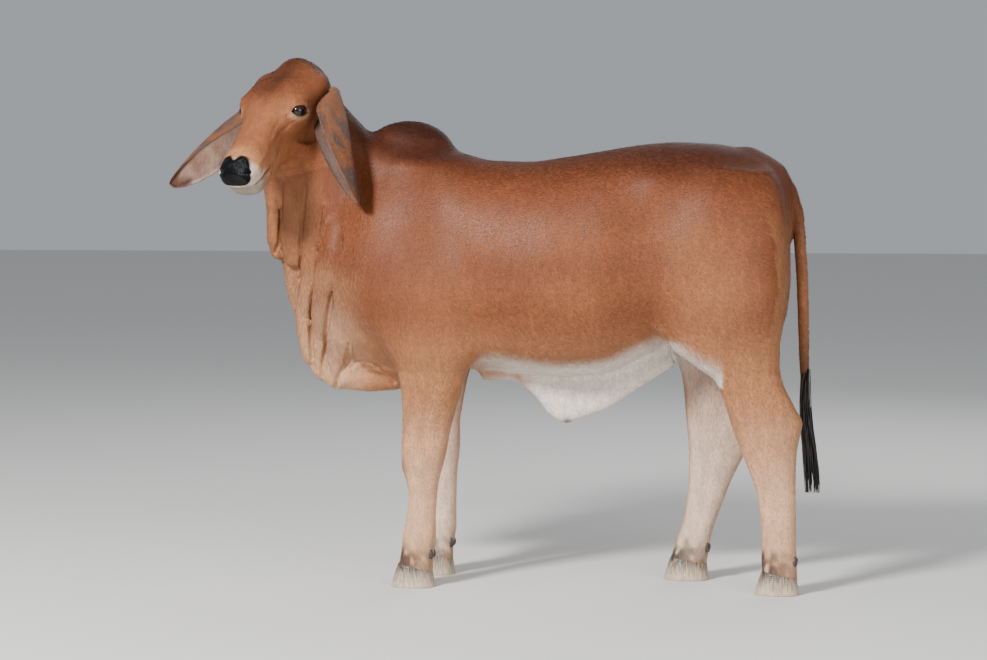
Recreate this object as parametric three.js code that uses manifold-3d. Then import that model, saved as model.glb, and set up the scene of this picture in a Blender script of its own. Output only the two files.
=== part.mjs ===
// A young red Brahman heifer, life size, standing still with its head turned to its left.
// Millimetres. X runs from nose to tail, the animal's left side is at -Y, and its soles stand on Z = 0.
// The flesh is one smooth field: shafts with a cross-section at each station, tubes and ellipsoids, blended
// into each other. Each piece is meshed from that field and cut from its neighbours with a thin gap.
import * as THREE from "three";
import { mergeVertices } from "three/addons/utils/BufferGeometryUtils.js";
import Module from "manifold-3d";

const wasm = await Module();
wasm.setup();

// Gap between pieces that touch.
const GAP = 0.3;
// How far a corner is pushed out so that its faces clear a neighbour by the gap.
const CORNER_PUSH = 0.55;
const LEFT = -1;
const RIGHT = 1;

// Head: where the skull joins the neck, how far it is turned to the left, and how far it is lowered.
const HEAD = { joint: [-525, -20, 1381], turn: 70, nod: 37 };
const EYE = { along: 181, aside: 82, above: 31.5, radius: 22 };
// The way the left eye looks, and the line of its slit, in the head's own frame.
const EYE_LOOK = [0.45, 0.85, 0.28];
const EYE_SLIT = [0.78, -0.385, 0.49];
// An ear is deeper and narrower than a round trough, by these factors.
const EAR = { width: 152, thick: 7, deep: 1.7, narrow: 0.72 };
const CLAW = { width: 44, height: 58, toeLean: 17, split: 5 };
const CORONET = { front: 64, back: 44 };

// Where the legs part from the trunk, and where each leg bends.
const ELBOW_CUT = 585;
const KNEE_CUT = 345;
const STIFLE_CUT = 625;
const HOCK_CUT = 395;

// Smooth curve through the rows [at, value...] of a table, flat where the values turn.
function along(rows, at) {
  const last = rows.length - 1;
  if (at <= rows[0][0]) return rows[0];
  if (at >= rows[last][0]) return rows[last];
  let i = 0;
  while (rows[i + 1][0] < at) i++;
  const span = rows[i + 1][0] - rows[i][0];
  const u = (at - rows[i][0]) / span;
  return rows[i].map((start, k) => {
    const step = rows[i + 1][k] - start;
    const slope = (j) => {
      if (j <= 0 || j >= last) return 0;
      const before = (rows[j][k] - rows[j - 1][k]) / (rows[j][0] - rows[j - 1][0]);
      const after = (rows[j + 1][k] - rows[j][k]) / (rows[j + 1][0] - rows[j][0]);
      return before * after > 0 ? (2 * before * after) / (before + after) : 0;
    };
    const edge = (j, fallback) => (j === 0 || j === last ? fallback / span : slope(j));
    const m0 = edge(i, step) * span;
    const m1 = edge(i + 1, step) * span;
    const u2 = u * u;
    const u3 = u2 * u;
    return start + m0 * (u3 - 2 * u2 + u) + m1 * (u3 - u2) + step * (3 * u2 - 2 * u3);
  });
}

function blend(a, b, reach) {
  const h = Math.max(reach - Math.abs(a - b), 0) / reach;
  return Math.min(a, b) - h * h * reach * 0.25;
}

// Distance from an ellipse-like section, measured along the ray from its centre.
function section(dx, dy, left, right, power) {
  const rx = dx < 0 ? left[0] : left[1];
  const ry = dy < 0 ? right[0] : right[1];
  const q = Math.pow(Math.pow(Math.abs(dx) / rx, power) + Math.pow(Math.abs(dy) / ry, power), 1 / power);
  const reach = Math.hypot(dx, dy);
  return q < 1e-6 ? -Math.min(rx, ry) : reach * (1 - 1 / q);
}

function capped(inside, at, first, last) {
  const over = Math.max(first - at, at - last);
  return over > 0 ? Math.hypot(Math.max(inside, 0), over) : Math.max(inside, over);
}

// Upright shaft. Rows: height, front x, back x, centre y, half width.
function column(rows, side, power = 2.2) {
  const [low, high] = [rows[0][0], rows.at(-1)[0]];
  return ([x, y, z]) => {
    const [, front, back, centre, half] = along(rows, z);
    const depth = (back - front) / 2;
    const d = section(x - front - depth, y - side * centre, [depth, depth], [half, half], power);
    return capped(d, z, low, high);
  };
}

// Lengthways shaft. Rows: x, top, bottom, half width, height of the widest line.
function barrel(rows, power = 2.15) {
  const [first, last] = [rows[0][0], rows.at(-1)[0]];
  return ([x, y, z]) => {
    const [, top, bottom, half, widest] = along(rows, x);
    const d = section(y, z - widest, [half, half], [widest - bottom, top - widest], power);
    return capped(d, x, first, last);
  };
}

function ellipsoid([cx, cy, cz], [rx, ry, rz]) {
  return ([x, y, z]) => {
    const q = Math.hypot((x - cx) / rx, (y - cy) / ry, (z - cz) / rz);
    const reach = Math.hypot(x - cx, y - cy, z - cz);
    return q < 1e-6 ? -Math.min(rx, ry, rz) : reach * (1 - 1 / q);
  };
}

// Round bar through points [x, y, z, radius].
function tube(points) {
  return ([x, y, z]) => {
    let best = Infinity;
    for (let i = 0; i + 1 < points.length; i++) {
      const [ax, ay, az, ar] = points[i];
      const [bx, by, bz, br] = points[i + 1];
      const [dx, dy, dz] = [bx - ax, by - ay, bz - az];
      const share = ((x - ax) * dx + (y - ay) * dy + (z - az) * dz) / (dx * dx + dy * dy + dz * dz);
      const t = Math.min(1, Math.max(0, share));
      const d = Math.hypot(x - ax - t * dx, y - ay - t * dy, z - az - t * dz) - ar - t * (br - ar);
      best = Math.min(best, d);
    }
    return best;
  };
}

// Soft swelling, or hollow where the height is negative: [x, y, z, reach, height].
function brushed(field, strokes) {
  return (p) => {
    let d = field(p);
    for (const [x, y, z, reach, height] of strokes) {
      const r2 = ((p[0] - x) ** 2 + (p[1] - y) ** 2 + (p[2] - z) ** 2) / (reach * reach);
      if (r2 < 6) d -= height * Math.exp(-r2);
    }
    return d;
  };
}

const onBothSides = (strokes) => strokes.flatMap(([x, y, ...rest]) => [[x, y, ...rest], [x, -y, ...rest]]);

// Trunk. Rows: x, top, bottom, half width, height of the widest line.
const TRUNK = [
  [-445, 960, 690, 80, 820],
  [-385, 1070, 640, 148, 830],
  [-300, 1165, 602, 184, 850],
  [-200, 1195, 582, 205, 860],
  [-100, 1188, 590, 216, 860],
  [0, 1166, 590, 232, 850],
  [100, 1163, 580, 248, 840],
  [200, 1175, 572, 258, 840],
  [300, 1191, 580, 258, 850],
  [400, 1207, 622, 247, 870],
  [500, 1215, 680, 236, 900],
  [600, 1211, 740, 222, 930],
  [680, 1198, 800, 188, 950],
  [740, 1178, 850, 148, 960],
  [790, 1142, 900, 96, 970],
  [818, 1090, 950, 45, 1000],
];
const HUMP = { centre: [-235, 0, 1180], radii: [128, 78, 95] };

// Neck. Rows: height, throat x, nape x, centre y, half width.
const NECK = [
  [600, -360, -150, 0, 60],
  [680, -440, -100, 0, 106],
  [780, -495, -80, 0, 134],
  [880, -535, -80, 0, 138],
  [980, -565, -110, 0, 126],
  [1080, -588, -170, -8, 110],
  [1160, -592, -240, -18, 97],
  [1240, -590, -338, -30, 90],
  [1300, -575, -395, -36, 84],
  [1350, -562, -436, -38, 72],
  [1395, -548, -462, -38, 48],
];

// Dewlap: the free edge of the skin below the throat. Rows: height, front x, back x, centre y, half width.
const DEWLAP = [
  [560, -478, -300, 0, 30],
  [606, -520, -320, 0, 34],
  [722, -556, -360, 0, 34],
  [806, -584, -390, 0, 34],
  [872, -594, -400, 0, 36],
  [925, -622, -420, -2, 38],
  [1014, -634, -440, -14, 38],
  [1083, -638, -450, -42, 40],
  [1150, -622, -470, -88, 46],
  [1210, -590, -480, -120, 50],
];
// Hanging folds on each side of the dewlap and neck: [x, distance from its middle, z, radius] down each one.
const FOLDS = [
  [[-612, 20, 1130, 8], [-610, 28, 1020, 20], [-604, 26, 950, 27], [-598, 16, 912, 20]],
  [[-560, 50, 1160, 6], [-556, 56, 1080, 22], [-550, 54, 960, 30], [-554, 34, 885, 24]],
  [[-510, 70, 1150, 5], [-510, 78, 1050, 18], [-508, 68, 880, 22], [-506, 44, 720, 22], [-500, 26, 600, 19]],
  [[-468, 96, 1080, 5], [-466, 100, 980, 17], [-462, 86, 820, 22], [-460, 52, 660, 22], [-462, 26, 570, 19]],
  [[-424, 100, 900, 5], [-418, 88, 780, 15], [-412, 56, 640, 20], [-410, 26, 560, 18]],
];
const BRISKET = [
  [-485, 0, 590, 30],
  [-430, 0, 566, 36],
  [-350, 0, 560, 38],
  [-280, 0, 572, 44],
  [-200, 0, 612, 60],
];
const NAVEL_FLAP = [
  [-30, 604, 560, 30, 590],
  [46, 604, 560, 30, 585],
  [110, 600, 520, 27, 560],
  [160, 596, 462, 22, 500],
  [200, 594, 443, 19, 480],
  [240, 594, 456, 18, 490],
  [300, 602, 476, 18, 520],
  [400, 636, 540, 24, 590],
  [500, 690, 604, 40, 640],
];

// Legs. Rows: height, front x, back x, centre y, half width.
const FORELEG = [
  [30, -250, -150, 116, 42],
  [60, -247, -150, 116, 42],
  [95, -240, -147, 117, 40],
  [135, -236, -141, 118, 40],
  [190, -225, -141, 118, 33],
  [244, -219, -138, 118, 31],
  [299, -228, -130, 119, 35],
  [335, -236, -120, 120, 42],
  [380, -236, -109, 121, 46],
  [430, -236, -100, 123, 43],
  [480, -234, -86, 127, 45],
  [530, -236, -72, 132, 52],
  [585, -244, -56, 137, 61],
  [650, -272, -22, 142, 70],
  [740, -335, 5, 144, 76],
  [860, -372, 0, 136, 80],
  [980, -345, -70, 118, 74],
  [1080, -300, -130, 96, 55],
  [1140, -270, -160, 78, 34],
];
const RIGHT_FORELEG = FORELEG.map(([z, front, back, ...rest]) => {
  const forward = THREE.MathUtils.lerp(20, -26, THREE.MathUtils.smoothstep(z, 200, 580));
  const stay = z > 800 ? 0 : forward;
  return [z, front + stay, back + stay, ...rest];
});
const HIND_TOP = [
  [742, 452, 802, 132, 98],
  [848, 436, 812, 128, 108],
  [954, 440, 810, 124, 102],
  [1059, 480, 795, 112, 82],
  [1130, 530, 745, 96, 55],
];
const LEFT_HIND = [
  [30, 742, 843, 116, 42],
  [60, 744, 841, 116, 42],
  [95, 742, 840, 117, 40],
  [130, 742, 838, 118, 40],
  [205, 739, 837, 119, 34],
  [264, 731, 836, 120, 34],
  [315, 714, 836, 121, 38],
  [379, 688, 838, 122, 45],
  [424, 671, 845, 124, 49],
  [461, 658, 848, 126, 46],
  [504, 645, 832, 128, 48],
  [572, 618, 800, 132, 60],
  [617, 560, 791, 134, 72],
  [663, 500, 791, 134, 84],
  ...HIND_TOP,
];
const RIGHT_HIND = [
  [30, 478, 584, 112, 42],
  [60, 484, 588, 112, 42],
  [100, 494, 594, 113, 40],
  [137, 508, 602, 114, 40],
  [196, 523, 622, 116, 34],
  [283, 532, 655, 119, 36],
  [342, 532, 684, 121, 42],
  [400, 528, 706, 123, 48],
  [440, 524, 714, 125, 47],
  [485, 520, 706, 127, 48],
  [545, 514, 700, 130, 56],
  [600, 500, 726, 133, 68],
  [663, 472, 762, 134, 84],
  ...HIND_TOP,
];
const FETLOCK_HEIGHT = 98;

// Muscles, joints and hollows on both sides: x, y, z, reach, height.
const MUSCLES = onBothSides([
  [-395, 150, 870, 75, 14],
  [-300, 150, 1010, 95, 10],
  [-130, 205, 940, 85, -9],
  [-30, 205, 700, 60, -12],
  [445, 190, 1130, 60, 13],
  [440, 215, 990, 90, -14],
  [395, 215, 760, 80, -10],
  [560, 230, 790, 95, 10],
  [640, 200, 1060, 90, 8],
  [760, 95, 1100, 34, 14],
  [690, 190, 640, 60, -8],
  [840, 118, 465, 26, 6],
  [-225, 160, 380, 30, 5],
]);

// Skull and face in the head's own frame: along the face, to its left, and towards the forehead.
// Rows: along, top, bottom, half width, height of the widest line.
const FACE = [
  [-42, 30, -40, 40, 0],
  [-20, 50, -55, 60, 4],
  [20, 68, -62, 80, 8],
  [70, 82, -62, 97, 18],
  [120, 91, -58, 106, 24],
  [160, 90, -54, 106, 26],
  [215, 80, -46, 80, 18],
  [260, 69, -42, 64, 12],
  [310, 58, -42, 57, 4],
  [352, 52, -44, 58, -2],
  [394, 46, -46, 61, -4],
  [424, 35, -42, 55, -6],
  [444, 15, -30, 38, -8],
];
const JAW = [
  [0, 0, -88, 40, -40],
  [35, 0, -110, 56, -48],
  [90, 0, -124, 72, -54],
  [150, 0, -120, 69, -52],
  [220, 0, -104, 54, -48],
  [290, -4, -92, 46, -46],
  [345, -8, -89, 49, -46],
  [388, -12, -87, 51, -50],
  [418, -20, -76, 43, -50],
];
// Swellings and hollows of the head: along, aside, above, reach, height.
const HEAD_FORMS = onBothSides([
  [100, 72, -50, 48, 9],
  [168, 82, 50, 24, 9],
  [198, 74, 40, 20, 6],
  [190, 97, 37, 18, -6.5],
  [208, 72, 4, 24, 5],
  [250, 56, 0, 34, -5],
  [428, 32, 6, 15, 8],
  [440, 28, -4, 9, -14],
  [60, 62, 90, 40, -6],
  [358, 52, -34, 18, 5],
  [400, 46, -42, 15, 4],
]);
const POLL = { centre: [26, 0, 44], radii: [48, 42, 42] };
const MOUTH = { height: -31, from: 324, depth: 6, half: 4.5 };
const LID_RIM = { radius: 21, thick: 4.4, height: 14 };

const radians = THREE.MathUtils.degToRad;
const TURN = radians(HEAD.turn);
const NOD = radians(HEAD.nod);
const FORWARD = [-Math.cos(TURN) * Math.cos(NOD), -Math.sin(TURN) * Math.cos(NOD), -Math.sin(NOD)];
const CROWNWARD = [-Math.cos(TURN) * Math.sin(NOD), -Math.sin(TURN) * Math.sin(NOD), Math.cos(NOD)];
const LEFTWARD = [Math.sin(TURN), -Math.cos(TURN), 0];

function headToBody([t, u, v]) {
  return HEAD.joint.map((c, i) => c + t * FORWARD[i] + u * LEFTWARD[i] + v * CROWNWARD[i]);
}

function bodyToHead(p) {
  const d = p.map((c, i) => c - HEAD.joint[i]);
  const dot = (axis) => d[0] * axis[0] + d[1] * axis[1] + d[2] * axis[2];
  return [dot(FORWARD), dot(LEFTWARD), dot(CROWNWARD)];
}

// Ring of thickened skin round an eye, longest along the slit.
function makeLidRing(side) {
  const centre = [EYE.along, side * EYE.aside, EYE.above];
  const mirrored = ([t, u, v]) => new THREE.Vector3(t, side * u, v).normalize();
  const look = mirrored(EYE_LOOK);
  const slit = mirrored(EYE_SLIT).addScaledVector(look, -mirrored(EYE_SLIT).dot(look)).normalize();
  const across = new THREE.Vector3().crossVectors(look, slit);
  return (q) => {
    const away = new THREE.Vector3(q[0] - centre[0], q[1] - centre[1], q[2] - centre[2]);
    const [a, b] = [away.dot(slit) / 1.18, away.dot(across)];
    const ring = Math.hypot(a, b) - LID_RIM.radius;
    const rim = away.dot(look) - LID_RIM.height + (a * a + b * b) / 70;
    return Math.hypot(ring, rim) - LID_RIM.thick;
  };
}

function makeHeadField() {
  const face = barrel(FACE, 2.3);
  const jaw = barrel(JAW, 2.2);
  const poll = ellipsoid(POLL.centre, POLL.radii);
  const lidRings = [makeLidRing(1), makeLidRing(-1)];
  const formed = brushed((q) => blend(blend(face(q), jaw(q), 26), poll(q), 40), HEAD_FORMS);
  return (p) => {
    const q = bodyToHead(p);
    const [t, , v] = q;
    let d = formed(q);
    const mouthHeight = MOUTH.height - 0.0006 * (t - MOUTH.from) ** 2 * (t < 380 ? 0 : 1);
    const lip = Math.exp(-(((v - mouthHeight) / MOUTH.half) ** 2));
    d += MOUTH.depth * lip * THREE.MathUtils.smoothstep(t, MOUTH.from - 18, MOUTH.from + 12);
    for (const lidRing of lidRings) d = blend(d, lidRing(q), 5);
    return d;
  };
}

const headField = makeHeadField();
const trunkField = barrel(TRUNK);
const humpField = ellipsoid(HUMP.centre, HUMP.radii);
const neckField = column(NECK, 1);
const dewlapField = column(DEWLAP, 1, 1.8);
const foldFields = FOLDS.flatMap((fold) =>
  [LEFT, RIGHT].map((side) => tube(fold.map(([x, y, z, r]) => [x, along(DEWLAP, z)[3] + side * y, z, r]))),
);
const brisketField = tube(BRISKET);
const navelField = barrel(NAVEL_FLAP, 1.9);
const forelegs = { left: column(FORELEG, LEFT), right: column(RIGHT_FORELEG, RIGHT) };
const hindlegs = { left: column(LEFT_HIND, LEFT), right: column(RIGHT_HIND, RIGHT) };

// The dewlap and its folds keep their creases, so they blend over a short reach.
function throatField(p) {
  let d = dewlapField(p);
  d = blend(d, brisketField(p), 24);
  for (const fold of foldFields) d = blend(d, fold(p), 9);
  return d;
}

const bodyField = brushed((p) => {
  let d = blend(trunkField(p), neckField(p), 90);
  d = blend(d, humpField(p), 34);
  d = blend(d, throatField(p), 14);
  for (const leg of [forelegs.left, forelegs.right, hindlegs.left, hindlegs.right]) d = blend(d, leg(p), 44);
  return blend(d, navelField(p), 40);
}, MUSCLES);

// Edges and faces of one cell. An edge runs along its axis from a corner given by the other two axes.
const edgeId = (axis, b, c) => axis * 4 + b * 2 + c;
const CELL_EDGES = [0, 1, 2].flatMap((axis) =>
  [[0, 0], [0, 1], [1, 0], [1, 1]].map(([b, c]) => {
    const from = [0, 0, 0];
    from[(axis + 1) % 3] = b;
    from[(axis + 2) % 3] = c;
    const to = [...from];
    to[axis] = 1;
    return { id: edgeId(axis, b, c), axis, from, to };
  }),
);
const CELL_FACES = [0, 1, 2].flatMap((axis) =>
  [0, 1].map((level) => {
    const onFace = CELL_EDGES.filter(({ from, to }) => from[axis] === level && to[axis] === level);
    const corners = [[0, 0], [0, 1], [1, 0], [1, 1]].map(([b, c]) => {
      const corner = [0, 0, 0];
      corner[axis] = level;
      corner[(axis + 1) % 3] = b;
      corner[(axis + 2) % 3] = c;
      const touches = ({ from, to }) => [from, to].some((end) => end.every((v, i) => v === corner[i]));
      return { corner, pair: onFace.filter(touches).map(({ id }) => id) };
    });
    return { edges: onFace.map(({ id }) => id), corners };
  }),
);

// Closed mesh of a field in a box of cells, its corners then pulled onto the surface.
function netSolid(field, low, high, cell, wanted) {
  const n = low.map((l, i) => Math.round((high[i] - l) / cell[i]) + 1);
  const at = (i, j, k) => [low[0] + i * cell[0], low[1] + j * cell[1], low[2] + k * cell[2]];
  const index = (i, j, k) => (i * n[1] + j) * n[2] + k;
  const value = new Float32Array(n[0] * n[1] * n[2]);
  const rim = (i, j, k) => [i, j, k].some((c, a) => c === 0 || c === n[a] - 1);
  for (let i = 0; i < n[0]; i++)
    for (let j = 0; j < n[1]; j++)
      for (let k = 0; k < n[2]; k++) value[index(i, j, k)] = rim(i, j, k) ? 1 : field(at(i, j, k));
  const patches = new Map();
  const points = [];
  // One corner for each patch of surface in a cell: crossed edges are joined round the faces they share.
  const cellPatches = (i, j, k) => {
    const key = index(i, j, k);
    if (patches.has(key)) return patches.get(key);
    const crossed = CELL_EDGES.filter(({ from, to }) => {
      const [v0, v1] = [from, to].map((c) => value[index(i + c[0], j + c[1], k + c[2])]);
      return v0 < 0 !== v1 < 0;
    });
    const group = new Map(crossed.map((edge) => [edge.id, edge.id]));
    const root = (id) => (group.get(id) === id ? id : root(group.get(id)));
    for (const face of CELL_FACES) {
      const cut = face.edges.filter((id) => group.has(id));
      if (cut.length === 2) group.set(root(cut[0]), root(cut[1]));
      if (cut.length !== 4) continue;
      for (const { corner, pair } of face.corners) {
        const inside = value[index(i + corner[0], j + corner[1], k + corner[2])] < 0;
        if (inside) group.set(root(pair[0]), root(pair[1]));
      }
    }
    const found = new Map();
    for (const { id, axis, from, to } of crossed) {
      const [v0, v1] = [from, to].map((c) => value[index(i + c[0], j + c[1], k + c[2])]);
      const spot = [i + from[0], j + from[1], k + from[2]];
      spot[axis] += v0 / (v0 - v1);
      const patch = found.get(root(id)) ?? { sum: [0, 0, 0], count: 0 };
      spot.forEach((c, m) => (patch.sum[m] += c));
      patch.count++;
      found.set(root(id), patch);
    }
    const number = new Map();
    for (const [id, { sum, count }] of found) {
      points.push(at(...sum.map((s) => s / count)));
      number.set(id, points.length - 1);
    }
    const ofEdge = (id) => number.get(root(id));
    patches.set(key, ofEdge);
    return ofEdge;
  };
  const faces = [];
  for (let i = 0; i < n[0] - 1; i++)
    for (let j = 0; j < n[1] - 1; j++)
      for (let k = 0; k < n[2] - 1; k++) {
        const inside = value[index(i, j, k)] < 0;
        for (let axis = 0; axis < 3; axis++) {
          const next = [i, j, k];
          next[axis] += 1;
          if (inside === value[index(...next)] < 0) continue;
          const [b, c] = [(axis + 1) % 3, (axis + 2) % 3];
          const quad = [[0, 0], [1, 0], [1, 1], [0, 1]].map(([db, dc]) => {
            const q = [i, j, k];
            q[b] -= db;
            q[c] -= dc;
            return cellPatches(...q)(edgeId(axis, db, dc));
          });
          if (!inside) quad.reverse();
          faces.push(quad[0], quad[1], quad[2], quad[0], quad[2], quad[3]);
        }
      }
  const smooth = pulledOnto(field, points, Math.min(...cell) * 0.4);
  return solidOf(...thinned(smooth, faces, wanted));
}

// Thins a closed mesh to about the wanted number of triangles, where the surface is flattest first.
function thinned(points, faces, wanted) {
  const place = points.map((p) => [...p]);
  const tris = [];
  for (let f = 0; f < faces.length; f += 3) tris.push(faces.slice(f, f + 3));
  const around = place.map(() => new Set());
  tris.forEach((tri, f) => tri.forEach((v) => around[v].add(f)));
  const normalOf = (a, b, c) => {
    const [u, w] = [b.map((e, i) => e - a[i]), c.map((e, i) => e - a[i])];
    return [u[1] * w[2] - u[2] * w[1], u[2] * w[0] - u[0] * w[2], u[0] * w[1] - u[1] * w[0]];
  };
  const dot = (a, b) => a[0] * b[0] + a[1] * b[1] + a[2] * b[2];
  const planes = place.map(() => new Float64Array(10));
  for (const tri of tris) {
    const normal = normalOf(...tri.map((v) => place[v]));
    const size = Math.hypot(...normal) || 1e-9;
    const [x, y, z] = normal.map((c) => c / size);
    const d = -dot([x, y, z], place[tri[0]]);
    const square = [x * x, x * y, x * z, x * d, y * y, y * z, y * d, z * z, z * d, d * d];
    for (const v of tri) square.forEach((c, i) => (planes[v][i] += c * size));
  }
  const strain = (q, [x, y, z]) =>
    q[0] * x * x + 2 * q[1] * x * y + 2 * q[2] * x * z + 2 * q[3] * x + q[4] * y * y +
    2 * q[5] * y * z + 2 * q[6] * y + q[7] * z * z + 2 * q[8] * z + q[9];
  let live = tris.length;
  const near = (v) => new Set([...around[v]].flatMap((f) => tris[f]).filter((w) => w !== v));
  const best = (a, b) => {
    const q = planes[a].map((c, i) => c + planes[b][i]);
    const middle = place[a].map((c, i) => (c + place[b][i]) / 2);
    const length = Math.hypot(...place[a].map((c, i) => c - place[b][i]));
    const choices = [middle, place[a], place[b]].map((at) => ({ at, cost: strain(q, at) }));
    const choice = choices.sort((one, two) => one.cost - two.cost)[0];
    return { a, b, q, at: [...choice.at], cost: choice.cost + 1e-3 * length ** 4 };
  };
  for (let pass = 0; pass < 40 && live > wanted; pass++) {
    const edges = [];
    around.forEach((set, a) => set.size && near(a).forEach((b) => a < b && edges.push(best(a, b))));
    edges.sort((one, two) => one.cost - two.cost);
    const touched = new Set();
    for (const { a, b, q, at } of edges.slice(0, Math.ceil(edges.length * 0.25))) {
      if (live <= wanted) break;
      const [nearA, nearB] = [near(a), near(b)];
      if ([a, b, ...nearA, ...nearB].some((v) => touched.has(v))) continue;
      if ([...nearA].filter((v) => nearB.has(v)).length !== 2) continue;
      const moving = [...new Set([...around[a], ...around[b]])];
      const kept = moving.filter((f) => !(tris[f].includes(a) && tris[f].includes(b)));
      const folds = kept.some((f) => {
        const before = normalOf(...tris[f].map((v) => place[v]));
        const after = normalOf(...tris[f].map((v) => (v === a || v === b ? at : place[v])));
        return dot(before, after) < 0.35 * Math.hypot(...before) * Math.hypot(...after) + 1e-6;
      });
      if (folds) continue;
      for (const f of moving.filter((face) => !kept.includes(face))) {
        tris[f].forEach((v) => around[v].delete(f));
        tris[f] = null;
        live--;
      }
      for (const f of [...around[b]]) {
        tris[f] = tris[f].map((v) => (v === b ? a : v));
        around[a].add(f);
      }
      around[b].clear();
      place[a] = at;
      planes[a] = q;
      [a, ...nearA, ...nearB].forEach((v) => touched.add(v));
    }
  }
  const number = new Map();
  const left = tris.filter((tri) => tri);
  left.flat().forEach((v) => number.has(v) || number.set(v, number.size));
  return [[...number.keys()].map((v) => place[v]), left.flat().map((v) => number.get(v))];
}

// Moves each point towards the field's zero, by a step of at most the reach.
function pulledOnto(field, points, reach) {
  const step = 0.5;
  return points.map((point) => {
    let p = point;
    for (let round = 0; round < 3; round++) {
      const d = field(p);
      const slope = [0, 1, 2].map((a) => {
        const q = [...p];
        q[a] += step;
        return (field(q) - d) / step;
      });
      const steep = Math.max(slope[0] ** 2 + slope[1] ** 2 + slope[2] ** 2, 0.2);
      const move = Math.max(-reach, Math.min(reach, d)) / steep;
      p = p.map((c, a) => c - move * slope[a]);
    }
    return p;
  });
}

function solidOf(points, faces) {
  return new wasm.Manifold(
    new wasm.Mesh({ numProp: 3, vertProperties: new Float32Array(points.flat()), triVerts: new Uint32Array(faces) }),
  );
}

function solidOfGeometry(geometry) {
  const bare = geometry.clone();
  bare.deleteAttribute("normal");
  bare.deleteAttribute("uv");
  const merged = mergeVertices(bare, 1e-3);
  return new wasm.Manifold(
    new wasm.Mesh({
      numProp: 3,
      vertProperties: new Float32Array(merged.attributes.position.array),
      triVerts: new Uint32Array(merged.index.array),
    }),
  );
}

function geometryOf(solid) {
  const mesh = solid.getMesh();
  const geometry = new THREE.BufferGeometry();
  const position = new Float32Array(mesh.numVert * 3);
  for (let i = 0; i < mesh.numVert; i++)
    position.set(mesh.vertProperties.subarray(i * mesh.numProp, i * mesh.numProp + 3), i * 3);
  geometry.setAttribute("position", new THREE.BufferAttribute(position, 3));
  geometry.setIndex(new THREE.BufferAttribute(new Uint32Array(mesh.triVerts), 1));
  geometry.computeVertexNormals();
  return geometry;
}

// The same solid with its faces pushed out, to cut a socket that clears it.
function swollen(solid, by = CORNER_PUSH) {
  const geometry = geometryOf(solid);
  const { position, normal } = geometry.attributes;
  const points = [];
  for (let i = 0; i < position.count; i++)
    points.push([0, 1, 2].map((a) => position.getComponent(i, a) + by * normal.getComponent(i, a)));
  return solidOf(points, [...geometry.index.array]);
}

function boxSolid(low, high) {
  const size = high.map((h, i) => h - low[i]);
  const geometry = new THREE.BoxGeometry(...size).toNonIndexed();
  geometry.translate(...low.map((l, i) => l + size[i] / 2));
  return solidOfGeometry(geometry);
}

const largest = (solid) => solid.decompose().sort((a, b) => b.volume() - a.volume())[0];
const without = (solid, ...others) => others.reduce((left, other) => left.subtract(swollen(other, 0.9)), solid);

// Closed loft through rings of points, each ring having as many points, with a point at each end.
function loft(rings, first, last) {
  const around = rings[0].length;
  const points = [...rings.flat(), first, last];
  const faces = [];
  const [start, end] = [points.length - 2, points.length - 1];
  rings.forEach((ring, r) => {
    for (let i = 0; i < around; i++) {
      const j = (i + 1) % around;
      const [a, b] = [r * around + i, r * around + j];
      if (r === 0) faces.push(start, b, a);
      if (r === rings.length - 1) faces.push(end, a, b);
      else faces.push(a, b, b + around, a, b + around, a + around);
    }
  });
  const solid = solidOf(points, faces);
  return solid.volume() > 0 ? solid : solidOf(points, faces.map((_, i) => faces[i - (i % 3) + 2 - (i % 3)]));
}

// Ring of points round a centre, in the plane of two directions.
function ring(centre, across, up, radii, count, power = 2) {
  return Array.from({ length: count }, (_, i) => {
    const a = (i / count) * 2 * Math.PI;
    const [c, s] = [Math.cos(a), Math.sin(a)];
    const bent = (value) => Math.sign(value) * Math.pow(Math.abs(value), 2 / power);
    return centre.map((m, k) => m + across[k] * radii[0] * bent(c) + up[k] * radii[1] * bent(s));
  });
}

const vector = (p) => new THREE.Vector3(...p);

// Ear: a leaf of skin and gristle, rolled to a tube at its root and cupped along its length.
// Rows: share of the length, width share, roll in degrees.
const EAR_FORM = [
  [0, 0.42, 250],
  [0.1, 0.5, 235],
  [0.22, 0.72, 195],
  [0.4, 0.97, 155],
  [0.58, 1.04, 125],
  [0.75, 0.95, 100],
  [0.88, 0.76, 80],
  [0.96, 0.5, 64],
  [1, 0.26, 54],
];
const EARS = {
  left: { root: [-414, -92, 1350], bend: [-376, -188, 1300], tip: [-330, -226, 1052], back: [0.88, 0.34, 0.1] },
  right: { root: [-600, -8, 1362], bend: [-728, -20, 1304], tip: [-900, -40, 1100], back: [-0.48, 0.62, 0.62] },
};
const EAR_STEPS = 12;
const EAR_ACROSS = 7;

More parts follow.
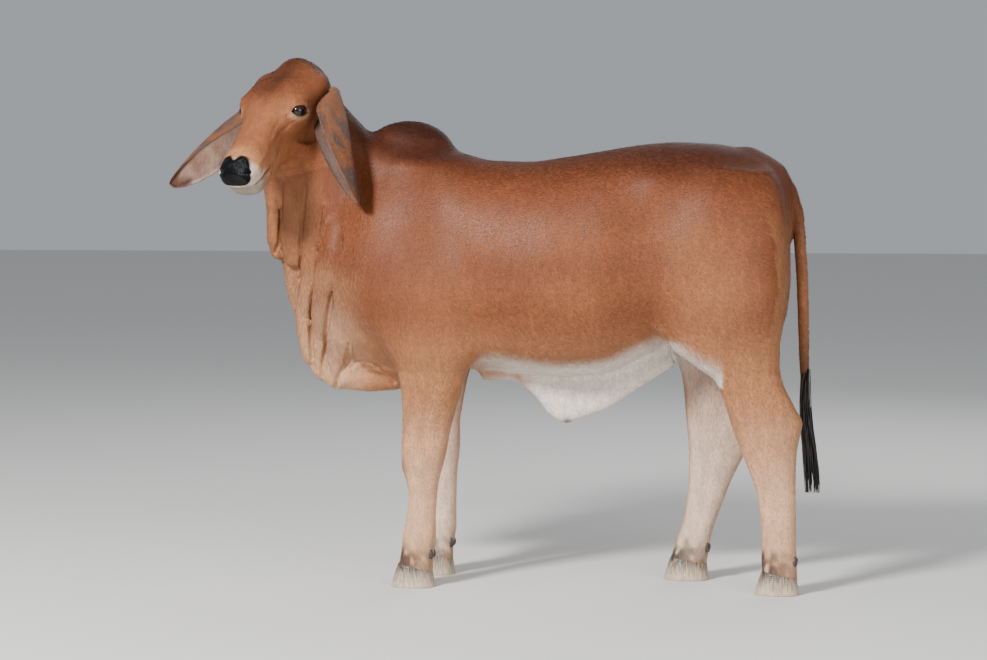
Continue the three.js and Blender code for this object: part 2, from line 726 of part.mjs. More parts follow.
// Grown by a clearance, the same ear cuts its own socket.
function ear({ root, bend, tip, back }, side, grown = 0) {
  const spine = new THREE.QuadraticBezierCurve3(vector(root), vector(bend), vector(tip));
  const rings = [];
  const centres = [];
  for (let i = 0; i <= EAR_STEPS; i++) {
    const share = i / EAR_STEPS;
    const [, widthShare, roll] = along(EAR_FORM, share);
    const ahead = spine.getTangentAt(share);
    const beyond = i === 0 ? -grown : i === EAR_STEPS ? grown : 0;
    const centre = spine.getPointAt(share).addScaledVector(ahead, beyond);
    const rear = vector(back).addScaledVector(ahead, -vector(back).dot(ahead)).normalize();
    const across = new THREE.Vector3().crossVectors(ahead, rear).multiplyScalar(side);
    const width = Math.max(EAR.width * widthShare * 1.12, 8);
    const radius = width / radians(roll);
    const angle = radians(roll) + (2 * grown) / radius;
    const thick = EAR.thick * (1 - 0.45 * share);
    const folded = THREE.MathUtils.smoothstep(share, 0.08, 0.4);
    const [deep, narrow] = [EAR.deep, EAR.narrow].map((factor) => THREE.MathUtils.lerp(1, factor, folded));
    const wall = (offset, turn) => {
      const r = radius + offset;
      const a = turn * angle * 0.5;
      return centre
        .clone()
        .addScaledVector(across, narrow * r * Math.sin(a))
        .addScaledVector(rear, deep * (r * Math.cos(a) - radius))
        .toArray();
    };
    const steps = Array.from({ length: EAR_ACROSS }, (_, j) => (2 * j) / (EAR_ACROSS - 1) - 1);
    const rim = (turn) => 1 - 0.5 * Math.abs(turn) ** 6;
    rings.push([
      ...steps.map((turn) => wall((thick / 2) * rim(turn) + grown, turn)),
      ...steps.toReversed().map((turn) => wall((-thick / 2) * rim(turn) - grown, turn)),
    ]);
    centres.push(centre.toArray());
  }
  const middle = (points) => [0, 1, 2].map((a) => (points[3][a] + points[10][a]) / 2);
  return loft(rings, middle(rings[0]), middle(rings.at(-1)));
}

// Root of the ear: the fleshy knob that its rolled tube grows from.
const EAR_KNOB = { along: 62, aside: 78, above: 26, radii: [44, 34, 34] };

// One claw of a cloven hoof, standing flat, its inner wall straight and its toe leaning forward.
function claw(toeX, heelX, innerY, side) {
  const rings = [];
  const levels = [0, 0.3, 0.65, 1];
  for (const level of levels) {
    const z = level * CLAW.height * 1.35;
    const toe = toeX + 5 * level - CLAW.toeLean * (1 - level) * 1.1;
    const heel = heelX + 4 - 9 * level;
    const width = CLAW.width * (1 - 0.16 * level);
    const outline = Array.from({ length: 14 }, (_, i) => {
      const a = (i / 14) * 2 * Math.PI;
      const x = (toe + heel) / 2 - (Math.cos(a) * (heel - toe)) / 2;
      const outward = Math.sin(a) > 0 ? width * Math.pow(Math.sin(a), 0.75) : 1.5 * Math.sin(a);
      return [x, innerY + side * outward, z];
    });
    rings.push(outline);
  }
  const centre = (z) => [(toeX + heelX) / 2, innerY + side * 14, z];
  return loft(rings, centre(0), centre(CLAW.height * 1.35));
}

function dewclaw(x, y, z) {
  const rings = [
    [0.25, 8],
    [0.6, 12],
    [0.9, 9],
  ].map(([share, radius]) => ring([x + 6 * share, y, z + 17 - 34 * share], [1, 0, 0.25], [0, 1, 0], [radius, radius], 8));
  return loft(rings, [x, y, z + 17], [x + 8, y, z - 19]);
}

// Plane through the top of a hoof, higher at the toe.
function coronetPlane(front, back) {
  const slope = (CORONET.front - CORONET.back) / (back - front);
  const normal = vector([slope, 0, 1]).normalize();
  const at = normal.dot(vector([front, 0, CORONET.front]));
  return { normal: normal.toArray(), at };
}

const nodes = {};
const LEGS = [
  { name: "foreleg_left", rows: FORELEG, side: LEFT, top: ELBOW_CUT, bend: KNEE_CUT, box: [-320, 20] },
  { name: "foreleg_right", rows: RIGHT_FORELEG, side: RIGHT, top: ELBOW_CUT, bend: KNEE_CUT, box: [-320, 20] },
  { name: "hindleg_left", rows: LEFT_HIND, side: LEFT, top: STIFLE_CUT, bend: HOCK_CUT, box: [470, 900] },
  { name: "hindleg_right", rows: RIGHT_HIND, side: RIGHT, top: STIFLE_CUT, bend: HOCK_CUT, box: [430, 860] },
];
const LEG_CELL = [13, 12, 17];
const legBoxes = [];

for (const { name, rows, side, top, bend, box } of LEGS) {
  const [inner, outer] = [48, 330].map((y) => side * y);
  const low = [box[0], Math.min(inner, outer), 20];
  const high = [box[1], Math.max(inner, outer), top + 90];
  const from = [low[0] - 40, low[1] - 34, low[2] - 30];
  const to = [high[0] + 40, high[1] + 34, high[2]];
  const whole = netSolid(bodyField, from, to, LEG_CELL, 900);
  const [, front, back, centre] = along(rows, 55);
  const coronet = coronetPlane(front, back);
  const legBox = boxSolid([low[0], low[1], -20], [high[0], high[1], top]);
  legBoxes.push(legBox);
  const clawPlane = coronet.at - GAP;
  const leg = largest(whole.intersect(legBox).trimByPlane(coronet.normal, coronet.at));
  const dewclaws = [-1, 1].map((way) => {
    const [, , fetlockBack, y] = along(rows, FETLOCK_HEIGHT);
    return dewclaw(fetlockBack - 9, side * y + way * 19, FETLOCK_HEIGHT - 4);
  });
  const shaped = without(leg, ...dewclaws);
  nodes[`${name}_upper`] = largest(shaped.trimByPlane([0, 0, 1], bend + GAP / 2));
  nodes[`${name}_lower`] = largest(shaped.trimByPlane([0, 0, -1], GAP / 2 - bend));
  [-1, 1].forEach((way, i) => {
    const word = way * side > 0 ? "outer" : "inner";
    const hoof = claw(front, back, side * centre + (way * CLAW.split) / 2, way);
    nodes[`${name}_claw_${word}`] = hoof.trimByPlane(coronet.normal.map((c) => -c), -clawPlane);
    nodes[`${name}_dewclaw_${word}`] = dewclaws[i];
  });
}

// Tail, from its root on the rump down to the switch. Rows: x, z, radius.
const TAIL = [
  [720, 1158, 34],
  [770, 1122, 32],
  [806, 1080, 26],
  [828, 1024, 20],
  [837, 950, 18],
  [844, 850, 17.5],
  [848, 740, 16.5],
  [851, 640, 16],
  [854, 560, 14],
  [856, 505, 11],
];
const TAIL_SIDES = 9;
function tail() {
  const spine = new THREE.CatmullRomCurve3(TAIL.map(([x, z]) => new THREE.Vector3(x, 0, z)));
  const steps = 26;
  const rings = Array.from({ length: steps + 1 }, (_, i) => {
    const share = i / steps;
    const centre = spine.getPoint(share);
    const ahead = spine.getTangent(share);
    const up = new THREE.Vector3().crossVectors(ahead, new THREE.Vector3(0, 1, 0));
    const at = share * (TAIL.length - 1);
    const row = Math.min(Math.floor(at), TAIL.length - 2);
    const radius = THREE.MathUtils.lerp(TAIL[row][2], TAIL[row + 1][2], at - row);
    return ring(centre.toArray(), [0, 1, 0], up.toArray(), [radius, radius], TAIL_SIDES);
  });
  const end = TAIL.at(-1);
  return loft(rings, [TAIL[0][0], 0, TAIL[0][1]], [end[0], 0, end[1]]);
}

// Seeded draw in 0 to 1, so that the locks vary the same way each time.
function makeDraw(seed) {
  let state = seed;
  return () => {
    state = (state * 1664525 + 1013904223) % 4294967296;
    return state / 4294967296;
  };
}

// Switch: flat tapered locks of long hair round a core, thickest below the tail's end.
const SWITCH = { locks: 16, length: 190, drift: 22, spread: 17, lockWidth: 13, lockThick: 4.5 };
// Core of the switch. Rows: height, radius.
const SWITCH_CORE = [[560, 17], [505, 19], [450, 16], [400, 9]];
function tailSwitch() {
  const draw = makeDraw(7);
  const centreAt = (z) => [855 + SWITCH.drift * THREE.MathUtils.smoothstep(520 - z, 0, 260), 0];
  const core = loft(
    SWITCH_CORE.map(([z, r]) => ring([centreAt(z)[0], 0, z], [1, 0, 0], [0, 1, 0], [r, r], 8)),
    [centreAt(575)[0], 0, 568],
    [centreAt(380)[0], 0, 385],
  );
  const locks = Array.from({ length: SWITCH.locks }, (_, i) => {
    const turn = i * 2.39996;
    const level = i / (SWITCH.locks - 1);
    const rootZ = 545 - 110 * level;
    const length = SWITCH.length * (0.75 + 0.3 * draw()) * (0.85 + 0.15 * level);
    const away = [Math.cos(turn), Math.sin(turn), 0];
    const aside = [-Math.sin(turn), Math.cos(turn), 0];
    const sway = (draw() - 0.5) * 12;
    const rings = [0, 0.35, 0.7, 0.93].map((share) => {
      const z = rootZ - length * share;
      const [cx, cy] = centreAt(z);
      const swell = Math.sin(Math.PI * Math.min(1, share * 0.62 + 0.12));
      const out = 9 + SWITCH.spread * swell * (0.72 + 0.3 * level) * 0.75;
      const drift = [0, 1].map((a) => away[a] * out + aside[a] * sway * share);
      const centre = [cx + drift[0], cy + drift[1], z];
      const width = SWITCH.lockWidth * (1 - 0.8 * share ** 2) * 0.5;
      return ring(centre, aside, away, [width, SWITCH.lockThick * (1 - 0.6 * share) * 0.5 + 0.6], 4);
    });
    const mean = (points) => [0, 1, 2].map((a) => points.reduce((s, p) => s + p[a], 0) / points.length);
    const [first, last] = [mean(rings[0]), mean(rings.at(-1))];
    return loft(rings, [first[0], first[1], first[2] + 6], [last[0], last[1], last[2] - 12]);
  });
  return largest(locks.reduce((whole, lock) => whole.add(lock), core));
}

// Head and what sits in it.
const eyeSolid = (side) => {
  const centre = headToBody([EYE.along, -side * EYE.aside, EYE.above]);
  const geometry = new THREE.SphereGeometry(EYE.radius, 12, 7);
  geometry.translate(...centre);
  return solidOfGeometry(geometry);
};
const knobs = [LEFT, RIGHT].map((side) =>
  ellipsoid([EAR_KNOB.along, -side * EAR_KNOB.aside, EAR_KNOB.above], EAR_KNOB.radii),
);
const headAndKnobs = (p) => knobs.reduce((d, knob) => blend(d, knob(bodyToHead(p)), 30), headField(p));

function headSolid() {
  // Meshed in the head's own frame, so that both sides of the face come out alike.
  const local = (q) => headAndKnobs(headToBody(q));
  const cell = [8, 7.5, 7.5];
  const solid = netSolid(local, [-64, -135, -142.5], [472, 135, 142.5], cell, 2100);
  const geometry = geometryOf(solid);
  const position = geometry.attributes.position;
  const points = [];
  for (let i = 0; i < position.count; i++) points.push(headToBody([0, 1, 2].map((a) => position.getComponent(i, a))));
  const turned = solidOf(points, [...geometry.index.array]);
  return turned.volume() > 0 ? turned : solidOf(points, [...geometry.index.array].toReversed());
}

const ears = { left: ear(EARS.left, -1), right: ear(EARS.right, 1) };
const earSockets = [ear(EARS.left, -1, 2.5 * GAP), ear(EARS.right, 1, 2.5 * GAP)];
const eyes = { left: eyeSolid(LEFT), right: eyeSolid(RIGHT) };
const wholeHead = headSolid();
const socket = (solid) => earSockets.reduce((left, ear) => left.subtract(ear), solid);
nodes.head = largest(socket(without(wholeHead, eyes.left, eyes.right)));
nodes.eye_left = eyes.left;
nodes.eye_right = eyes.right;
nodes.ear_left = ears.left;
nodes.ear_right = ears.right;
nodes.tail = tail();
nodes.tail_switch = tailSwitch();
nodes.tail = largest(nodes.tail.subtract(swollen(nodes.tail_switch)));

// Trunk, neck, dewlap, hump and navel flap, each meshed as finely as its own form needs.
const socketed = without(
  netSolid(bodyField, [-600, -300, 540], [870, 300, 1310], [25, 24, 24], 2900),
  nodes.tail,
);
const legless = legBoxes.reduce((body, box) => body.subtract(swollen(box, 0.3)), socketed);
// Neck and trunk part along a plane from the withers to the point of the shoulder.
const NECK_PLANE = { normal: vector([-1, 0, -0.16]).normalize(), through: [-352, 0, 1240] };
const neckAt = NECK_PLANE.normal.dot(vector(NECK_PLANE.through));
const backwards = NECK_PLANE.normal.clone().negate().toArray();
const navelBox = [[-45, -47, 400], [520, 47, 572]];
const navelRoom = boxSolid(
  navelBox[0].map((c) => c - GAP),
  navelBox[1].map((c) => c + GAP),
);
nodes.torso = largest(legless.trimByPlane(backwards, -neckAt + GAP).subtract(navelRoom));
const frontHalf = netSolid(bodyField, [-680, -192, 490], [-250, 192, 1405], [12, 12, 15], 3300);
const front = frontHalf.trimByPlane(NECK_PLANE.normal.toArray(), neckAt);
const throatPlane = { normal: vector([-1, 0, -0.32]).normalize(), through: [-500, 0, 1000] };
const throatAt = throatPlane.normal.dot(vector(throatPlane.through));
const headless = legBoxes.reduce((body, box) => body.subtract(swollen(box, 0.3)), socket(without(front, wholeHead)));
nodes.neck = largest(headless.trimByPlane(throatPlane.normal.clone().negate().toArray(), -throatAt + GAP));
nodes.dewlap = largest(headless.trimByPlane(throatPlane.normal.toArray(), throatAt));
const flap = netSolid(bodyField, [-60, -70, 400], [540, 70, 620], [15, 7, 11], 420);
nodes.navel_flap = largest(flap.intersect(boxSolid(...navelBox)));

const COLOURS = {
  coat: [0x8a4f2c, 0.75],
  pale: [0xc9a081, 0.8],
  dark: [0x2a201c, 0.6],
  horn: [0x6b5a4b, 0.5],
  eye: [0x120c0a, 0.12],
};
const colourOf = (name) => {
  if (name.includes("claw")) return COLOURS.horn;
  if (name.startsWith("eye")) return COLOURS.eye;
  if (name === "tail_switch") return COLOURS.dark;
  return name === "navel_flap" ? COLOURS.pale : COLOURS.coat;
};

// The origin is below the middle of the whole animal, on the floor.
const extent = new THREE.Box3();
for (const solid of Object.values(nodes)) {
  const { min, max } = solid.boundingBox();
  extent.union(new THREE.Box3(vector(min), vector(max)));
}
const middleOfAll = extent.getCenter(new THREE.Vector3());

const cattle = new THREE.Group();
for (const [name, solid] of Object.entries(nodes)) {
  const [color, roughness] = colourOf(name);
  const geometry = geometryOf(solid);
  geometry.translate(-middleOfAll.x, -middleOfAll.y, 0);
  const mesh = new THREE.Mesh(geometry, new THREE.MeshStandardMaterial({ color, roughness, metalness: 0 }));
  mesh.name = name;
  cattle.add(mesh);
}

export default cattle;
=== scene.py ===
"""A young red Brahman heifer standing side on with its head turned to its left.

The flesh is one smooth field in millimetres, in the animal's own space, where X runs from nose to tail,
the animal's left side is at -Y and its soles stand on Z = 0. One skin is meshed from that field, and the
coat, eyes, ears, hooves and the switch of the tail are set on it.
"""

from __future__ import annotations

import logging
import math
from dataclasses import dataclass
from enum import Enum
from typing import Callable, Iterator, Sequence

import bpy
import numpy as np
from mathutils import Matrix, Vector

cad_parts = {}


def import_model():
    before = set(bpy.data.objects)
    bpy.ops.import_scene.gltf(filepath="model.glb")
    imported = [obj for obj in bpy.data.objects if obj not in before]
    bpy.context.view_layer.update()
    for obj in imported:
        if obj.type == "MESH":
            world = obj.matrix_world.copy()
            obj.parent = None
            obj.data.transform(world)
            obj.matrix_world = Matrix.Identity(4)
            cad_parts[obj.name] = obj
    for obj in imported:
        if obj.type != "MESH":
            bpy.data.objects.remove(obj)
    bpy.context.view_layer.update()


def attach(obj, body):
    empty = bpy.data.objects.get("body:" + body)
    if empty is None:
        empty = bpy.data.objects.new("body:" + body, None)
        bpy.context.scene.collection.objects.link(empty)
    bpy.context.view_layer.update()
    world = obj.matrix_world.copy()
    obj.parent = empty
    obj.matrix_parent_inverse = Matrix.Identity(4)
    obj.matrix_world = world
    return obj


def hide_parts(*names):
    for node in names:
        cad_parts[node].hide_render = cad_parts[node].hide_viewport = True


log = logging.getLogger("heifer")

Array = np.ndarray
Field = Callable[[Array], Array]
Rows = Sequence[Sequence[float]]
Triple = tuple[float, float, float]

# The animal's own space, in millimetres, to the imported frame, in metres.
SHIFT = np.array([3.95, 56.0, 0.0])
# A distance that means far away, in millimetres.
FAR = 400.0
EDGE = math.inf


class Side(Enum):
    """A side of the animal, with its sign along Y."""

    LEFT = -1
    RIGHT = 1


BOTH = (Side.LEFT, Side.RIGHT)


def smoothstep(value: Array, low: float, high: float) -> Array:
    """Rises smoothly from 0 at low to 1 at high."""
    share = np.clip((value - low) / (high - low), 0.0, 1.0)
    return share * share * (3.0 - 2.0 * share)


def bell(value: Array, middle: float, reach: float) -> Array:
    """One at the middle, falling away on both sides over the reach."""
    return np.exp(-(((value - middle) / reach) ** 2))


def linear(colour: str) -> Array:
    """An sRGB hex colour as linear red, green and blue."""
    parts = np.array([int(colour[i : i + 2], 16) / 255.0 for i in (1, 3, 5)])
    return np.where(parts <= 0.04045, parts / 12.92, ((parts + 0.055) / 1.055) ** 2.4)


def per_metre(*sizes: float) -> tuple[float, ...]:
    """Pattern scales for features of the given sizes in millimetres."""
    return tuple(1000.0 / size for size in sizes)


class Table:
    """Smooth curve through rows of numbers, flat where the values turn."""

    def __init__(self, rows: Sequence[Sequence[float]]) -> None:
        """Keeps the rows as numbers."""
        data = np.array(rows, float)
        self.at_rows = data[:, 0]
        self.values = data[:, 1:]
        spans = np.diff(self.at_rows)[:, None]
        secants = np.diff(self.values, axis=0) / spans
        before, after = secants[:-1], secants[1:]
        product = before * after
        total = np.where(np.abs(before + after) < 1e-9, 1.0, before + after)
        self.inner = np.where(product > 0, 2 * product / total, 0.0)
        self.secants = secants
        self.spans = spans

    def __call__(self, at: Array) -> Array:
        """Rows of values at each place."""
        last = len(self.at_rows) - 2
        i = np.clip(np.searchsorted(self.at_rows, at, side="right") - 1, 0, last)
        span = self.spans[i]
        u = np.clip((np.asarray(at)[:, None] - self.at_rows[i][:, None]) / span, 0, 1)
        slopes = np.concatenate(
            [np.zeros_like(self.values[:1]), self.inner, np.zeros_like(self.values[:1])]
        )
        start = np.where((i == 0)[:, None], self.secants[i], slopes[i]) * span
        end = np.where((i == last)[:, None], self.secants[i], slopes[i + 1]) * span
        u2, u3 = u * u, u**3
        step = self.values[i + 1] - self.values[i]
        return self.values[i] + start * (u3 - 2 * u2 + u) + end * (u3 - u2) + step * (3 * u2 - 2 * u3)


def blend(a: Array, b: Array, reach: float) -> Array:
    """Joins two fields, rounding the crease between them over the reach."""
    h = np.maximum(reach - np.abs(a - b), 0.0) / reach
    return np.minimum(a, b) - h * h * reach * 0.25


def carve(a: Array, b: Array, reach: float) -> Array:
    """Takes field b out of field a, with a rounded edge."""
    return -blend(-a, b, reach)


def section(dx: Array, dy: Array, x_reach: Array, y_reach: Array, power: float) -> Array:
    """Distance from an ellipse-like section, measured along the ray from its centre."""
    q = (np.abs(dx) / x_reach) ** power + (np.abs(dy) / y_reach) ** power
    q = np.maximum(q, 1e-9) ** (1 / power)
    reach = np.hypot(dx, dy)
    return np.where(q < 1e-3, -np.minimum(x_reach, y_reach), reach * (1 - 1 / q))


def capped(inside: Array, at: Array, first: float, last: float) -> Array:
    """Ends a shaft at two places."""
    over = np.maximum(first - at, at - last)
    return np.where(over > 0, np.hypot(np.maximum(inside, 0), over), np.maximum(inside, over))


def column(rows: Sequence[Sequence[float]], side: int = 1, power: float = 2.2) -> Field:
    """Upright shaft. Rows: height, front x, back x, centre y, half width."""
    table = Table(rows)

    def shaft(p: Array) -> Array:
        """The field at points."""
        front, back, centre, half = table(p[:, 2]).T
        depth = (back - front) / 2
        d = section(p[:, 0] - front - depth, p[:, 1] - side * centre, depth, half, power)
        return capped(d, p[:, 2], rows[0][0], rows[-1][0])

    return shaft


def barrel(rows: Sequence[Sequence[float]], power: float = 2.15) -> Field:
    """Lengthways shaft. Rows: x, top, bottom, half width, height of the widest line."""
    table = Table(rows)

    def shaft(p: Array) -> Array:
        """The field at points."""
        top, bottom, half, widest = table(p[:, 0]).T
        rise = p[:, 2] - widest
        reach = np.where(rise < 0, widest - bottom, top - widest)
        return capped(section(p[:, 1], rise, half, reach, power), p[:, 0], rows[0][0], rows[-1][0])

    return shaft


def ellipsoid(centre: Sequence[float], radii: Sequence[float]) -> Field:
    """An ellipsoid."""
    middle, size = np.array(centre, float), np.array(radii, float)

    def shape(p: Array) -> Array:
        """The field at points."""
        away = p - middle
        q = np.maximum(np.linalg.norm(away / size, axis=1), 1e-6)
        return np.where(q < 1e-3, -size.min(), np.linalg.norm(away, axis=1) * (1 - 1 / q))

    return shape


def lengths(q: Array, bar: Array) -> Iterator[tuple[Array, Array]]:
    """Walks along a line of straight lengths.

    Args:
        q: points, one row each.
        bar: the line's points of x, y, z and radius.

    Yields:
        For each length, the distance of every point from it and its radius beside that point.
    """
    for a, b in zip(bar[:-1], bar[1:]):
        along = b[:3] - a[:3]
        t = np.clip((q - a[:3]) @ along / (along @ along), 0, 1)
        yield np.linalg.norm(q - a[:3] - t[:, None] * along, axis=1), a[3] + t * (b[3] - a[3])


def tube(points: Rows) -> Field:
    """Round bar through points of x, y, z and radius; far from it the distance is only a large number.

    Args:
        points: the line's points.

    Returns:
        The field.
    """
    bar = np.array(points, float)
    margin = 90
    low = bar[:, :3].min(axis=0) - margin
    high = bar[:, :3].max(axis=0) + margin

    def shape(p: Array) -> Array:
        """The field at points."""
        best = np.full(len(p), FAR)
        near = np.all((p > low) & (p < high), axis=1)
        found = np.full(near.sum(), FAR)
        for away, radius in lengths(p[near], bar):
            found = np.minimum(found, away - radius)
        best[near] = found
        return best

    return shape


def strokes(p: Array, rows: Sequence[Sequence[float]]) -> Array:
    """Soft swellings, or hollows where the height is negative. Rows: x, y, z, reach, height."""
    total = np.zeros(len(p))
    for x, y, z, reach, height in rows:
        away = ((p[:, 0] - x) ** 2 + (p[:, 1] - y) ** 2 + (p[:, 2] - z) ** 2) / (reach * reach)
        near = away < 6
        total[near] += height * np.exp(-away[near])
    return total


def along_line(p: Array, points: Rows, widen: float = 1.0) -> Array:
    """One on a line through points of x, y, z and half width, falling softly to nothing beside it."""
    bar = np.array(points, float)
    reach = 2.5 * widen * bar[:, 3].max()
    near = np.all((p > bar[:, :3].min(axis=0) - reach) & (p < bar[:, :3].max(axis=0) + reach), axis=1)
    best = np.full(near.sum(), 1e9)
    for away, width in lengths(p[near], bar):
        best = np.minimum(best, away / (widen * width))
    total = np.zeros(len(p))
    total[near] = np.exp(-np.minimum(best, 6) ** 2)
    return total


def mirrored(rows: Sequence[Sequence[float]]) -> list[tuple[float, ...]]:
    """Each row and its copy on the other side of the middle."""
    return [row for x, y, *rest in rows for row in ((x, y, *rest), (x, -y, *rest))]


def lofted(rings: Rows) -> Surface:
    """Closed mesh through rings of points, with a cap at each end.

    Args:
        rings: its rings, one after the other.

    Returns:
        The surface.
    """
    shape = np.array(rings, float)
    steps, count = shape.shape[:2]
    points = shape.reshape(-1, 3)
    i = np.arange(count)
    j = (i + 1) % count
    base = np.arange(steps - 1)[:, None] * count
    a, b = base + i, base + j
    walls = [
        np.stack([a, b, b + count], -1).reshape(-1, 3),
        np.stack([a, b + count, a + count], -1).reshape(-1, 3),
    ]
    first, last = len(points), len(points) + 1
    end = (steps - 1) * count
    caps = [
        np.stack([np.full(count, first), j, i], 1), np.stack([np.full(count, last), end + i, end + j], 1)
    ]
    middles = np.array([shape[0].mean(axis=0), shape[-1].mean(axis=0)])
    surface = Surface(np.concatenate([points, middles]), np.concatenate(walls + caps))
    a, b, c = (surface.points[surface.faces[:, n]] - points[0] for n in range(3))
    if np.einsum("ij,ij->i", a, np.cross(b, c)).sum() < 0:
        surface.faces = surface.faces[:, ::-1].copy()
    return surface


@dataclass(frozen=True)
class HeadPose:
    """Where the skull joins the neck, how far it is turned to the left and how far it is lowered."""

    joint: tuple[float, float, float] = (-525.0, -20.0, 1381.0)
    turn: float = math.radians(70)
    nod: float = math.radians(37)

    def axes(self) -> Array:
        """Rows: along the face, to the head's left, towards the forehead."""
        t, n = self.turn, self.nod
        return np.array(
            [
                [-math.cos(t) * math.cos(n), -math.sin(t) * math.cos(n), -math.sin(n)],
                [math.sin(t), -math.cos(t), 0.0],
                [-math.cos(t) * math.sin(n), -math.sin(t) * math.sin(n), math.cos(n)],
            ]
        )

    def to_head(self, p: Array) -> Array:
        """Points of the animal's space in the head's own space."""
        return (p - np.array(self.joint)) @ self.axes().T

    def to_body(self, q: Array) -> Array:
        """Points of the head's own space in the animal's space."""
        return q @ self.axes() + np.array(self.joint)


@dataclass(frozen=True)
class EyeSizes:
    """An eye in the head's own space, in millimetres."""

    along: float = 181.0
    aside: float = 82.0
    above: float = 32.0
    radius: float = 22.0
    look: Triple = (0.45, 0.85, 0.28)
    slit: Triple = (0.78, -0.385, 0.49)
    lid: float = 3.2
    lid_reach: float = 10.0
    rim: float = 1.6
    opening: float = 23.5
    gape: float = 12.5
    lower_share: float = 0.8
    upper_roll: Triple = (2.2, 10.5, 3.5)
    lower_roll: Triple = (1.2, -10.0, 3.0)
    slot_depth: float = 9.0
    around: float = 60.0


@dataclass(frozen=True)
class HeadSizes:
    """How the parts of the head join, in millimetres in the head's own space."""

    face_power: float = 2.3
    jaw_power: float = 2.2
    jaw_reach: float = 26.0
    poll_centre: Triple = (26.0, 0.0, 44.0)
    poll_radii: Triple = (48.0, 42.0, 42.0)
    poll_reach: float = 40.0
    knob_centre: Triple = (62.0, 78.0, 26.0)
    knob_radii: Triple = (44.0, 34.0, 34.0)
    knob_reach: float = 30.0
    mouth_height: float = -31.0
    mouth_bow: float = 0.0006
    mouth_middle: float = 324.0
    mouth_depth: float = 6.0
    mouth_width: float = 4.0
    low: Triple = (-150.0, -220.0, -260.0)
    high: Triple = (560.0, 220.0, 260.0)


